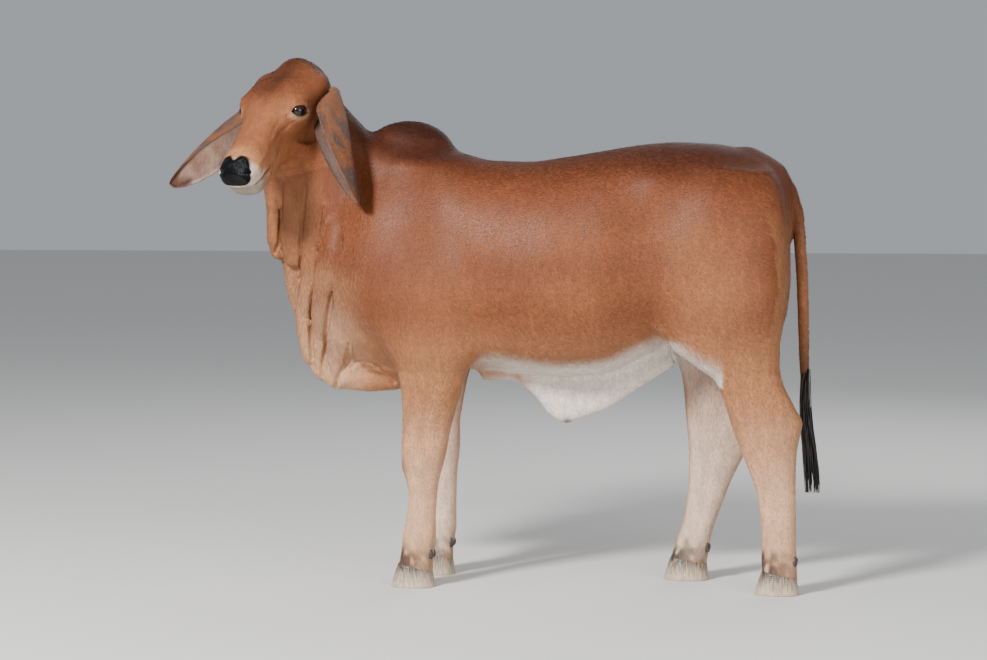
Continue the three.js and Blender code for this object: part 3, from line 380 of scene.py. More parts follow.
class Head:
    """Skull, jaw, lids, nostrils and mouth of the head."""

    FACE = [
        [-42, 30, -40, 40, 0], [-20, 50, -55, 60, 4], [20, 68, -62, 80, 8], [70, 82, -62, 97, 18],
        [120, 91, -58, 106, 24], [160, 90, -54, 106, 26], [215, 80, -46, 80, 18], [260, 69, -42, 64, 12],
        [310, 58, -42, 57, 4], [352, 52, -44, 58, -2], [394, 46, -46, 61, -4], [424, 35, -42, 55, -6],
        [444, 15, -30, 38, -8],
    ]
    JAW = [
        [0, 0, -88, 40, -40], [35, 0, -110, 56, -48], [90, 0, -124, 72, -54], [150, 0, -120, 69, -52],
        [220, 0, -104, 54, -48], [290, -4, -92, 46, -46], [345, -8, -89, 49, -46], [388, -12, -87, 51, -50],
        [418, -20, -76, 43, -50],
    ]
    FORMS = mirrored(
        [
            [100, 72, -50, 48, 9], [168, 82, 50, 24, 9], [198, 74, 40, 20, 6], [208, 72, 4, 24, 5],
            [250, 56, 0, 34, -5], [428, 32, 6, 15, 8], [60, 62, 90, 40, -6], [358, 52, -34, 18, 5],
            [400, 46, -42, 15, 4],
        ]
    )
    # Hollow and raised lines of the face: height, then points along, aside, above, half width.
    LINES = [
        (-15.0, [[430, 24, 32, 5], [434, 33, 27, 8.5], [432, 40, 17, 7], [424, 46, 8, 4]]),
        (-2.6, [[214, 74, 58, 3.4], [194, 90, 66, 3.6], [172, 97, 62, 3.6], [152, 105, 34, 3.4]]),
        (2.2, [[220, 68, 50, 5], [196, 84, 62, 5], [170, 94, 70, 5], [146, 102, 46, 5]]),
        (-1.8, [[214, 66, 68, 4], [186, 78, 78, 4], [158, 86, 78, 4], [136, 100, 56, 4]]),
        (-2.2, [[214, 81, 42, 3.2], [236, 62, 48, 3.6], [262, 56, 40, 4.5], [292, 54, 30, 5]]),
        (-1.4, [[204, 92, 18, 3.5], [226, 70, 20, 4], [256, 60, 14, 5], [290, 56, 6, 6]]),
        (-1.8, [
            [160, 105, 6, 4], [168, 96, -20, 4.5], [173, 70, -49, 5], [211, 52, -73, 6], [262, 46, -70, 6],
        ]),
        (1.4, [
            [152, 104, 0, 6], [160, 90, -30, 7], [180, 66, -62, 8], [226, 50, -84, 8], [280, 44, -82, 7],
        ]),
        (-1.6, [
            [140, 104, 0, 4], [146, 90, -34, 5], [164, 74, -64, 6], [200, 54, -92, 6], [250, 46, -98, 5],
        ]),
        (2.6, [[300, 54, -22, 9], [345, 56, -40, 10], [384, 54, -52, 9]]),
        (-1.8, [[372, 58, -6, 4], [388, 58, 4, 4], [404, 55, 14, 4]]),
        (2.0, [[352, 56, 8, 8], [384, 58, 10, 8], [408, 54, 2, 7]]),
    ]

    def __init__(
        self, pose: HeadPose = HeadPose(), eye: EyeSizes = EyeSizes(), sizes: HeadSizes = HeadSizes()
    ) -> None:
        """Prepares the forms of the head."""
        self.pose = pose
        self.eye = eye
        self.sizes = sizes
        self.face = barrel(self.FACE, sizes.face_power)
        self.jaw = barrel(self.JAW, sizes.jaw_power)
        self.poll = ellipsoid(sizes.poll_centre, sizes.poll_radii)
        t, u, v = sizes.knob_centre
        self.knobs = [ellipsoid([t, -side.value * u, v], sizes.knob_radii) for side in BOTH]

    def eye_frame(self, side: Side) -> tuple[Array, Array]:
        """Centre of an eyeball, and rows along its slit, across its slit and out of the head."""
        e, s = self.eye, -side.value
        centre = np.array([e.along, s * e.aside, e.above])
        mirror = np.array([1.0, s, 1.0])
        out = np.array(e.look) * mirror
        out /= np.linalg.norm(out)
        slit = np.array(e.slit) * mirror
        slit -= out * (slit @ out)
        slit /= np.linalg.norm(slit)
        across = np.cross(out, slit) * (1 if s < 0 else -1)
        return centre, np.array([slit, across, out])

    def lids(self, d: Array, q: Array) -> Array:
        """Wraps lids round each eyeball and opens them in the shape of an almond.

        Args:
            d: the field at each point.
            q: points, one row each.

        Returns:
            One value or row for each point.
        """
        e = self.eye
        for side in BOTH:
            centre, axes = self.eye_frame(side)
            near = np.linalg.norm(q - centre, axis=1) < e.around
            if not near.any():
                continue
            a, b, n = ((q[near] - centre) @ axes.T).T
            reach = np.linalg.norm(q[near] - centre, axis=1)
            roll = sum(height * bell(b, at, width) for height, at, width in (e.upper_roll, e.lower_roll))
            lid = reach - (e.radius + e.lid + roll * smoothstep(n, 2, 14))
            joined = blend(d[near], lid, e.lid_reach)
            corner = np.clip(np.abs(a) / e.opening, 0, 1)
            upper = e.gape * np.maximum(1 - corner**2.2, 0) ** 0.75
            lower = e.gape * e.lower_share * (1 - corner**1.7)
            edge = np.where(b > 0, b - upper, -b - lower)
            slot = np.maximum(np.maximum(edge, np.abs(a) - e.opening), e.slot_depth - n)
            d[near] = carve(joined, slot, e.rim)
        return d

    def lines(self, q: Array) -> Array:
        """Folds and ridges of the face."""
        total = np.zeros(len(q))
        for height, points in self.LINES:
            for sign in (1, -1):
                total += height * along_line(q, [[t, sign * u, v, w] for t, u, v, w in points])
        return total

    def mouth(self, q: Array) -> Array:
        """Depth of the mouth line."""
        s = self.sizes
        t, _, v = q.T
        height = s.mouth_height - s.mouth_bow * (t - s.mouth_middle) ** 2 * (t > 380)
        return s.mouth_depth * bell(v - height, 0, s.mouth_width) * smoothstep(t, 306, 336)

    def __call__(self, p: Array) -> Array:
        """The head's field at points of the animal's space."""
        s = self.sizes
        q = self.pose.to_head(p)
        out = np.full(len(p), FAR)
        near = np.all((q > np.array(s.low)) & (q < np.array(s.high)), axis=1)
        q = q[near]
        d = blend(blend(self.face(q), self.jaw(q), s.jaw_reach), self.poll(q), s.poll_reach)
        d = d - strokes(q, self.FORMS) - self.lines(q) + self.mouth(q)
        d = self.lids(d, q)
        for knob in self.knobs:
            d = blend(d, knob(q), s.knob_reach)
        out[near] = d
        return out


@dataclass(frozen=True)
class BodySizes:
    """How the parts of the body join, in millimetres."""

    hump_centre: Triple = (-235.0, 0.0, 1180.0)
    hump_radii: Triple = (128.0, 78.0, 95.0)
    dewlap_power: float = 1.8
    navel_power: float = 1.9
    neck_reach: float = 90.0
    hump_reach: float = 34.0
    throat_reach: float = 30.0
    brisket_reach: float = 24.0
    fold_reach: float = 9.0
    leg_reach: float = 44.0
    navel_reach: float = 40.0
    teat_reach: float = 10.0
    tail_reach: float = 6.0
    tail_root_reach: float = 30.0
    head_reach: float = 22.0
    crease_step: float = 22.0
    crease_depth: float = 13.0
    swell: float = 4.0
    swell_width: float = 3.4
    right_foot_back: float = 20.0
    right_knee_ahead: float = 46.0


class Body:
    """Trunk, hump, neck, dewlap, legs, navel flap and tail as one field."""

    TRUNK = [
        [-445, 960, 690, 80, 820], [-385, 1070, 640, 148, 830], [-300, 1165, 602, 184, 850],
        [-200, 1195, 582, 205, 860], [-100, 1188, 590, 216, 860], [0, 1166, 590, 232, 850],
        [100, 1163, 580, 248, 840], [200, 1175, 572, 258, 840], [300, 1191, 580, 258, 850],
        [400, 1207, 622, 247, 870], [500, 1215, 680, 236, 900], [600, 1211, 740, 222, 930],
        [680, 1198, 800, 188, 950], [740, 1178, 850, 148, 960], [790, 1142, 900, 96, 970],
        [818, 1090, 950, 45, 1000],
    ]
    NECK = [
        [600, -360, -150, 0, 60], [680, -440, -100, 0, 106], [780, -495, -80, 0, 134],
        [880, -535, -80, 0, 138], [980, -565, -110, 0, 126], [1080, -588, -170, -8, 110],
        [1160, -592, -240, -18, 97], [1240, -590, -338, -30, 90], [1300, -575, -395, -36, 84],
        [1350, -562, -436, -38, 72], [1395, -548, -462, -38, 48],
    ]
    DEWLAP = [
        [560, -478, -300, 0, 30], [606, -520, -320, 0, 34], [722, -556, -360, 0, 34],
        [806, -584, -390, 0, 34], [872, -594, -400, 0, 36], [925, -622, -420, -2, 38],
        [1014, -634, -440, -14, 38], [1083, -638, -450, -42, 40], [1150, -622, -470, -88, 46],
        [1210, -590, -480, -120, 50],
    ]
    FOLDS = [
        [
            [-600, 10, 1130, 10], [-606, 18, 1080, 15], [-610, 26, 1020, 20], [-604, 24, 950, 28],
            [-598, 16, 915, 25],
        ],
        [[-556, 30, 1120, 12], [-556, 46, 1060, 22], [-550, 50, 960, 36], [-552, 34, 902, 33]],
        [
            [-478, 44, 1060, 12], [-488, 66, 985, 20], [-492, 72, 900, 25], [-506, 52, 820, 29],
            [-526, 22, 738, 30], [-522, 12, 683, 28], [-514, 8, 622, 24],
        ],
        [
            [-424, 100, 985, 14], [-430, 118, 930, 24], [-448, 110, 820, 28], [-468, 64, 740, 30],
            [-478, 28, 680, 26], [-486, 12, 610, 22], [-480, 8, 580, 18],
        ],
        [[-412, 84, 740, 24], [-422, 62, 680, 32], [-436, 28, 610, 27], [-444, 14, 560, 21]],
    ]
    # Creases of the dewlap on the left: points of x, y, z and half width.
    CREASES = [
        [
            [-504, -100, 1088, 3], [-511, -96, 1054, 4], [-517, -86, 996, 5.5], [-520, -79, 942, 6],
            [-515, -77, 911, 6], [-521, -56, 879, 5], [-540, -29, 839, 4],
        ],
        [
            [-451, -113, 1042, 2.5], [-460, -111, 985, 4], [-465, -118, 897, 6], [-475, -102, 823, 6.5],
            [-497, -31, 738, 6.5], [-496, -28, 683, 7], [-507, -19, 622, 7],
        ],
        [
            [-389, -153, 963, 3], [-393, -157, 940, 4.5], [-406, -162, 891, 6],
            [-422, -143, 821, 6.5], [-439, -107, 754, 6.5],
            [-457, -44, 685, 6.5], [-469, -31, 633, 7], [-476, -28, 570, 7],
        ],
        [[-451, -42, 677, 3], [-449, -34, 653, 5], [-447, -33, 610, 6.5], [-451, -28, 551, 7]],
        [
            [-384, -108, 670, 3], [-392, -81, 649, 5], [-406, -34, 607, 7], [-425, -38, 568, 8],
            [-443, -20, 539, 7],
        ],
        [
            [-395, -35, 595, 5], [-360, -64, 615, 5], [-322, -78, 607, 6], [-294, -63, 583, 6],
            [-271, -39, 554, 6],
        ],
        [[-588, -54, 1038, 3], [-588, -51, 983, 5], [-591, -52, 941, 6], [-605, -43, 913, 6]],
    ]
    BRISKET = [
        [-485, 0, 590, 30], [-430, 0, 566, 36], [-350, 0, 560, 38], [-280, 0, 572, 44], [-200, 0, 612, 60],
    ]
    NAVEL = [
        [-30, 604, 560, 30, 590], [46, 604, 560, 30, 585], [110, 600, 520, 27, 560],
        [160, 596, 462, 22, 500], [200, 594, 443, 19, 480], [240, 594, 456, 18, 490],
        [300, 602, 476, 18, 520], [400, 636, 540, 24, 590], [500, 690, 604, 40, 640],
    ]
    FORELEG = [
        [30, -250, -150, 116, 42], [60, -247, -150, 116, 42], [95, -240, -147, 117, 40],
        [135, -236, -141, 118, 40], [190, -225, -141, 118, 33], [244, -219, -138, 118, 31],
        [299, -228, -130, 119, 35], [335, -236, -120, 120, 42], [380, -236, -109, 121, 46],
        [430, -236, -100, 123, 43], [480, -234, -86, 127, 45], [530, -236, -72, 132, 52],
        [585, -244, -56, 137, 61], [650, -272, -22, 142, 70], [740, -335, 5, 144, 76],
        [860, -372, 0, 136, 80], [980, -345, -70, 118, 74], [1080, -300, -130, 96, 55],
        [1140, -270, -160, 78, 34],
    ]
    HIND_TOP = [
        [742, 452, 802, 132, 98], [848, 436, 812, 128, 108], [954, 440, 810, 124, 102],
        [1059, 480, 795, 112, 82], [1130, 530, 745, 96, 55],
    ]
    LEFT_HIND = [
        [30, 742, 843, 116, 42], [60, 744, 841, 116, 42], [95, 742, 840, 117, 40], [130, 742, 838, 118, 40],
        [205, 739, 837, 119, 34], [264, 731, 836, 120, 34], [315, 714, 836, 121, 38],
        [379, 688, 838, 122, 45], [424, 671, 845, 124, 49], [461, 658, 848, 126, 46],
        [504, 645, 832, 128, 48], [572, 618, 800, 132, 60], [617, 560, 791, 134, 72],
        [663, 500, 791, 134, 84],
    ]
    RIGHT_HIND = [
        [30, 478, 584, 112, 42], [60, 484, 588, 112, 42], [100, 494, 594, 113, 40],
        [137, 508, 602, 114, 40], [196, 523, 622, 116, 34], [283, 532, 655, 119, 36],
        [342, 532, 684, 121, 42], [400, 528, 706, 123, 48], [440, 524, 714, 125, 47],
        [485, 520, 706, 127, 48], [545, 514, 700, 130, 56], [600, 500, 726, 133, 68],
        [663, 472, 762, 134, 84],
    ]
    TAIL = [
        [700, 0, 1160, 34], [770, 0, 1122, 31], [806, 0, 1080, 25], [828, 0, 1024, 20], [837, 0, 950, 17.5],
        [844, 0, 850, 16.5], [848, 0, 740, 16], [851, 0, 640, 15], [854, 0, 560, 13], [856, 0, 505, 10],
    ]
    MUSCLES = mirrored(
        [
            [-395, 150, 870, 75, 14], [-300, 150, 1010, 95, 10], [-130, 205, 940, 85, -9],
            [-30, 205, 700, 60, -12], [445, 190, 1130, 60, 13], [440, 215, 990, 90, -14],
            [395, 215, 760, 80, -10], [560, 230, 790, 95, 10], [640, 200, 1060, 90, 8],
            [760, 95, 1100, 34, 14], [690, 190, 640, 60, -8], [840, 118, 465, 26, 6],
            [-225, 160, 380, 30, 5], [-235, 100, 1160, 62, 15], [-150, 92, 1150, 60, 9],
            [-318, 84, 1160, 52, 9], [-205, 118, 345, 34, 4], [-150, 84, 400, 30, -4],
            [-150, 152, 430, 36, -4], [-172, 148, 240, 26, -3.5], [-200, 148, 105, 22, 4],
        ]
    )
    TEATS = [[[500, 42, 668, 12], [500, 42, 628, 7.5]], [[556, 40, 700, 12], [558, 40, 660, 7.5]]]

    def __init__(self, head: Head, sizes: BodySizes = BodySizes()) -> None:
        """Prepares the forms of the body.

        Args:
            head: the head.
            sizes: its sizes.
        """
        self.head = head
        self.sizes = sizes
        self.trunk = barrel(self.TRUNK)
        self.hump = ellipsoid(sizes.hump_centre, sizes.hump_radii)
        self.neck = column(self.NECK)
        self.dewlap = column(self.DEWLAP, 1, sizes.dewlap_power)
        self.brisket = tube(self.BRISKET)
        self.navel = barrel(self.NAVEL, sizes.navel_power)
        self.legs = {
            "foreleg_left": column(self.FORELEG, -1),
            "foreleg_right": column(self.right_foreleg(), 1),
            "hindleg_left": column(self.LEFT_HIND + self.HIND_TOP, -1),
            "hindleg_right": column(self.RIGHT_HIND + self.HIND_TOP, 1),
        }
        self.tail = tube(self.TAIL)
        self.teats = [
            tube([[x, s.value * y, z, r] for x, y, z, r in teat]) for teat in self.TEATS for s in BOTH
        ]
        self.folds = []
        self.creases = []
        self.hang_folds()

    def right_foreleg(self) -> list[list[float]]:
        """Rows of the right foreleg, which stands a little behind the left one."""
        s = self.sizes
        rows = []
        for z, front, back, *rest in self.FORELEG:
            lean = s.right_knee_ahead * float(smoothstep(np.array(float(z)), 200, 580))
            ahead = 0.0 if z > 800 else s.right_foot_back - lean
            rows.append([z, front + ahead, back + ahead, *rest])
        return rows

    def hang_folds(self) -> None:
        """Makes the dewlap's folds and creases on both sides of its middle, which swings left above."""
        middle = Table(self.DEWLAP)
        for fold in self.FOLDS:
            centres = middle(np.array([row[2] for row in fold], float))[:, 2]
            for side in BOTH:
                self.folds.append(
                    tube([[x, c + side.value * y, z, r] for (x, y, z, r), c in zip(fold, centres)])
                )
        for crease in self.CREASES:
            centres = middle(np.array([row[2] for row in crease], float))[:, 2]
            other = [[x, 2 * c - y, z, w] for (x, y, z, w), c in zip(crease, centres)]
            self.creases += [self.settled(crease), self.settled(other)]

    def settled(self, points: Rows) -> Array:
        """A line in short steps, each laid on the skin."""
        bar = np.array(points, float)
        steps = []
        for a, b in zip(bar[:-1], bar[1:]):
            count = max(1, round(float(np.linalg.norm(b[:3] - a[:3])) / self.sizes.crease_step))
            steps += [a + (b - a) * i / count for i in range(count)]
        line = np.array([*steps, bar[-1]])
        for _ in range(6):
            here = self.bulk(line[:, :3])
            slope = np.stack([self.bulk(line[:, :3] + step) - here for step in np.eye(3)], 1)
            away = np.clip(here / np.maximum((slope**2).sum(axis=1), 0.3), -12, 12)
            line[:, :3] -= away[:, None] * slope
        return line

    def bulk(self, p: Array) -> Array:
        """Trunk, neck, hump, dewlap and legs without creases."""
        s = self.sizes
        d = blend(self.trunk(p), self.neck(p), s.neck_reach)
        d = blend(d, self.hump(p), s.hump_reach)
        d = blend(d, self.throat(p), s.throat_reach)
        for leg in self.legs.values():
            d = blend(d, leg(p), s.leg_reach)
        return d

    def throat(self, p: Array) -> Array:
        """Dewlap, brisket and their folds, which keep their creases."""
        d = blend(self.dewlap(p), self.brisket(p), self.sizes.brisket_reach)
        for fold in self.folds:
            d = blend(d, fold(p), self.sizes.fold_reach)
        return d

    def creased(self, p: Array) -> Array:
        """Depth of the dewlap's creases, with a soft swelling on both sides of each."""
        s = self.sizes
        depth = np.zeros(len(p))
        swell = np.zeros(len(p))
        for crease in self.creases:
            depth = np.maximum(depth, along_line(p, crease))
            swell = np.maximum(swell, along_line(p, crease, s.swell_width))
        return s.crease_depth * depth - s.swell * swell

    def __call__(self, p: Array) -> Array:
        """The whole animal's field."""
        s = self.sizes
        d = self.bulk(p) + self.creased(p)
        d = blend(d, self.navel(p), s.navel_reach)
        d = d - strokes(p, self.MUSCLES)
        for teat in self.teats:
            d = blend(d, teat(p), s.teat_reach)
        reach = s.tail_reach + s.tail_root_reach * smoothstep(p[:, 2], 1060, 1140)
        d = blend(d, self.tail(p), reach)
        return blend(d, self.head(p), s.head_reach)


@dataclass
class Surface:
    """A triangle mesh in the animal's space."""

    points: Array
    faces: Array

    def normals(self) -> Array:
        """Unit normal at each point."""
        a, b, c = (self.points[self.faces[:, i]] for i in range(3))
        cross = np.cross(b - a, c - a)
        total = np.zeros_like(self.points)
        for i in range(3):
            for k in range(3):
                total[:, k] += np.bincount(self.faces[:, i], cross[:, k], len(self.points))
        return total / np.maximum(np.linalg.norm(total, axis=1), 1e-9)[:, None]

    def face_centres(self) -> Array:
        """Middle of each face."""
        return self.points[self.faces].mean(axis=1)


class SkinMesher:
    """Meshes a field, fine where the form is fine, and pulls every point onto it."""

    def __init__(self, shape: Field, inset: float) -> None:
        """Keeps the field and how far the coat stands off it."""
        self.shape = shape
        self.inset = inset

    def value(self, p: Array) -> Array:
        """The field, drawn in by the depth of the coat."""
        parts = [self.shape(chunk) for chunk in np.array_split(p, max(1, len(p) // 150000))]
        return np.concatenate(parts) + self.inset

    def sampled(self, low: Array, counts: Array, cell: float, stride: int = 4) -> Array:
        """Field values at a lattice, worked out only in the blocks that the surface may cross.

        Args:
            low: the lower end.
            counts: how many cells there are each way.
            cell: the size of a cell.
            stride: how many cells to step over.

        Returns:
            One value or row for each point.
        """
        blocks = counts // stride
        corners = np.stack(np.meshgrid(*[np.arange(n + 1) * stride for n in blocks], indexing="ij"), -1)
        coarse = self.value(low + corners.reshape(-1, 3) * cell).reshape(corners.shape[:3])
        nearest = np.full(tuple(blocks), np.inf)
        for dx in (0, 1):
            for dy in (0, 1):
                for dz in (0, 1):
                    part = coarse[dx : dx + blocks[0], dy : dy + blocks[1], dz : dz + blocks[2]]
                    nearest = np.minimum(nearest, np.abs(part))
        base = coarse[:-1, :-1, :-1]
        values = np.repeat(np.repeat(np.repeat(base, stride, 0), stride, 1), stride, 2)
        busy = np.repeat(
            np.repeat(np.repeat(nearest < 2.4 * stride * cell, stride, 0), stride, 1), stride, 2
        )
        spots = np.argwhere(busy)
        values[busy] = self.value(low + spots * cell)
        return values

    def net(self, low: Sequence[float], high: Sequence[float], cell: float) -> Surface:
        """Closed mesh with one point in each cell that the surface crosses.

        Args:
            low: the lower end.
            high: the upper end.
            cell: the size of a cell.

        Returns:
            The surface.
        """
        start = np.array(low, float)
        counts = (np.ceil((np.array(high) - start) / cell / 4) * 4).astype(int)
        values = self.sampled(start, counts, cell)
        cells = tuple(counts)
        size = int(np.prod(cells))
        sums = np.zeros((3, size))
        count = np.zeros(size)
        quads = []
        for axis in range(3):
            lower = [slice(None)] * 3
            upper = [slice(None)] * 3
            lower[axis], upper[axis] = slice(0, -1), slice(1, None)
            v0, v1 = values[tuple(lower)], values[tuple(upper)]
            spots = np.argwhere((v0 < 0) != (v1 < 0))
            a, b = v0[tuple(spots.T)], v1[tuple(spots.T)]
            crossing = spots.astype(float)
            crossing[:, axis] += a / (a - b)
            ring = []
            for db, dc in ((0, 0), (1, 0), (1, 1), (0, 1)):
                cell_at = spots.copy()
                cell_at[:, (axis + 1) % 3] -= db
                cell_at[:, (axis + 2) % 3] -= dc
                flat = np.ravel_multi_index(tuple(cell_at.T), cells)
                ring.append(flat)
                count += np.bincount(flat, minlength=size)
                for k in range(3):
                    sums[k] += np.bincount(flat, crossing[:, k], size)
            quad = np.stack(ring, 1)
            quad[a >= 0] = quad[a >= 0][:, ::-1]
            quads.append(quad)
        used = np.flatnonzero(count)
        number = np.full(size, -1)
        number[used] = np.arange(len(used))
        points = start + (sums[:, used] / count[used]).T * cell
        quad = number[np.concatenate(quads)]
        return Surface(points, np.concatenate([quad[:, [0, 1, 2]], quad[:, [0, 2, 3]]]))

    def pulled(self, surface: Surface, reach: float, rounds: int = 3) -> None:
        """Moves each point to the field's surface."""
        step = 0.7
        for _ in range(rounds):
            d = self.value(surface.points)
            ahead = [self.value(surface.points + np.eye(3)[k] * step) - d for k in range(3)]
            slope = np.stack(ahead, 1) / step
            steep = np.maximum((slope**2).sum(axis=1), 0.25)
            move = np.clip(d, -reach, reach) / steep
            surface.points = surface.points - slope * move[:, None]

    def relaxed(self, surface: Surface, share: float = 0.5) -> None:
        """Evens the spacing of the points without changing the form."""
        edges = np.concatenate(
            [surface.faces[:, [0, 1]], surface.faces[:, [1, 2]], surface.faces[:, [2, 0]]]
        )
        n = len(surface.points)
        count = np.maximum(np.bincount(edges[:, 0], minlength=n), 1)
        mean = np.stack(
            [np.bincount(edges[:, 0], surface.points[edges[:, 1], k], n) / count for k in range(3)], 1
        )
        surface.points = surface.points + share * (mean - surface.points)

    @staticmethod
    def split(surface: Surface, chosen: Array) -> Surface:
        """Halves every edge of the chosen faces, and joins the faces beside them to the new points.

        Args:
            surface: the surface.
            chosen: which triangles to split.

        Returns:
            The surface.
        """
        tris = surface.faces
        ends = np.sort(
            np.stack([tris[:, [0, 1]], tris[:, [1, 2]], tris[:, [2, 0]]], 1).reshape(-1, 2), axis=1
        )
        unique, which = np.unique(ends, axis=0, return_inverse=True)
        which = which.reshape(-1, 3)
        marked = np.zeros(len(unique), bool)
        marked[which[chosen].ravel()] = True
        middle = np.full(len(unique), -1)
        middle[marked] = len(surface.points) + np.arange(marked.sum())
        points = np.concatenate([surface.points, surface.points[unique[marked]].mean(axis=1)])
        cut = marked[which]
        number = cut.sum(axis=1)
        parts = [tris[number == 0]]
        for turn in range(3):
            order = [turn, (turn + 1) % 3, (turn + 2) % 3]
            one = (number == 1) & cut[:, turn]
            a, b, c = tris[one][:, order].T
            m = middle[which[one][:, turn]]
            parts += [np.stack([a, m, c], 1), np.stack([m, b, c], 1)]
            two = (number == 2) & ~cut[:, (turn + 2) % 3]
            a, b, c = tris[two][:, order].T
            m0, m1 = middle[which[two][:, turn]], middle[which[two][:, (turn + 1) % 3]]
            parts += [np.stack([m0, b, m1], 1), np.stack([a, m0, m1], 1), np.stack([a, m1, c], 1)]
        three = number == 3
        a, b, c = tris[three].T
        m0, m1, m2 = middle[which[three]].T
        parts += [np.stack(t, 1) for t in ((a, m0, m2), (m0, b, m1), (m2, m1, c), (m0, m1, m2))]
        return Surface(points, np.concatenate(parts))


@dataclass(frozen=True)
class Box:
    """A box in millimetres, evenly wide on both sides of the middle."""

    low: tuple[float, float] = (-EDGE, -EDGE)
    high: tuple[float, float] = (EDGE, EDGE)
    inner: float = 0.0
    outer: float = EDGE

    def holds(self, p: Array) -> Array:
        """Which points lie in it: low and high bound the first and third value, the others the second."""
        along, aside, above = p[:, 0], np.abs(p[:, 1]), p[:, 2]
        inside = (along > self.low[0]) & (along < self.high[0])
        inside &= (above > self.low[1]) & (above < self.high[1])
        return inside & (aside >= self.inner) & (aside < self.outer)


@dataclass(frozen=True)
class SkinSizes:
    """Sizes of the skin's mesh, in millimetres."""

    cell: float = 10.0
    coat_depth: float = 2.0
    low: Triple = (-730.0, -400.0, 30.0)
    high: Triple = (900.0, 330.0, 1480.0)
    eye_reach: Triple = (36.0, 48.0, 36.0)
    crease_widen: float = 2.2


class Skin:
    """The one skin that covers the flesh."""

    # Places that are split finer, in the animal's space and in the head's.
    FINE = [
        Box((-EDGE, 520), (-395, 1180)),
        Box((815, 480), (EDGE, 1040), outer=40),
        Box(high=(EDGE, 590), outer=45),
        Box(high=(EDGE, 130)),
        Box((470, 600), (590, 700), outer=75),
    ]
    HEAD = Box((20, -150), (470, 150), outer=130)
    MUZZLE = Box((335, -150), (470, 150), outer=130)
    NOSTRILS = Box((410, -10), (470, 44), inner=10, outer=56)

    def __init__(self, body: Body, head: Head, sizes: SkinSizes = SkinSizes()) -> None:
        """Meshes the skin."""
        self.body = body
        self.head = head
        self.sizes = sizes
        self.mesher = SkinMesher(body, sizes.coat_depth)
        self.surface = self.make()

    def make(self) -> Surface:
        """Meshes the skin, then splits it where folds, face, eyes and nose need more."""
        s = self.sizes
        surface = self.mesher.net(s.low, s.high, s.cell)
        self.mesher.pulled(surface, s.cell * 0.5)
        self.mesher.relaxed(surface)
        self.mesher.pulled(surface, s.cell * 0.5, 1)
        for level in range(3):
            surface = self.mesher.split(surface, self.fine(surface.face_centres(), level))
            self.mesher.pulled(surface, s.cell * 0.3 / (level + 1), 2)
        log.info("skin: %d faces", len(surface.faces))
        return surface

    def fine(self, p: Array, level: int) -> Array:
        """Which places get split at each level."""
        q = self.head.pose.to_head(p)
        if level == 0:
            return np.any([self.HEAD.holds(q), *(box.holds(p) for box in self.FINE)], axis=0)
        reach = self.sizes.eye_reach[level]
        chosen = (self.MUZZLE if level == 1 else self.NOSTRILS).holds(q)
        for side in BOTH:
            chosen |= np.linalg.norm(q - self.head.eye_frame(side)[0], axis=1) < reach
        if level == 1:
            for crease in self.body.creases:
                chosen |= along_line(p, crease, self.sizes.crease_widen) > 0.2
        return chosen


def place(points: Array) -> Array:
    """Points of the animal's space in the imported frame, in metres."""
    return (points + SHIFT) / 1000.0


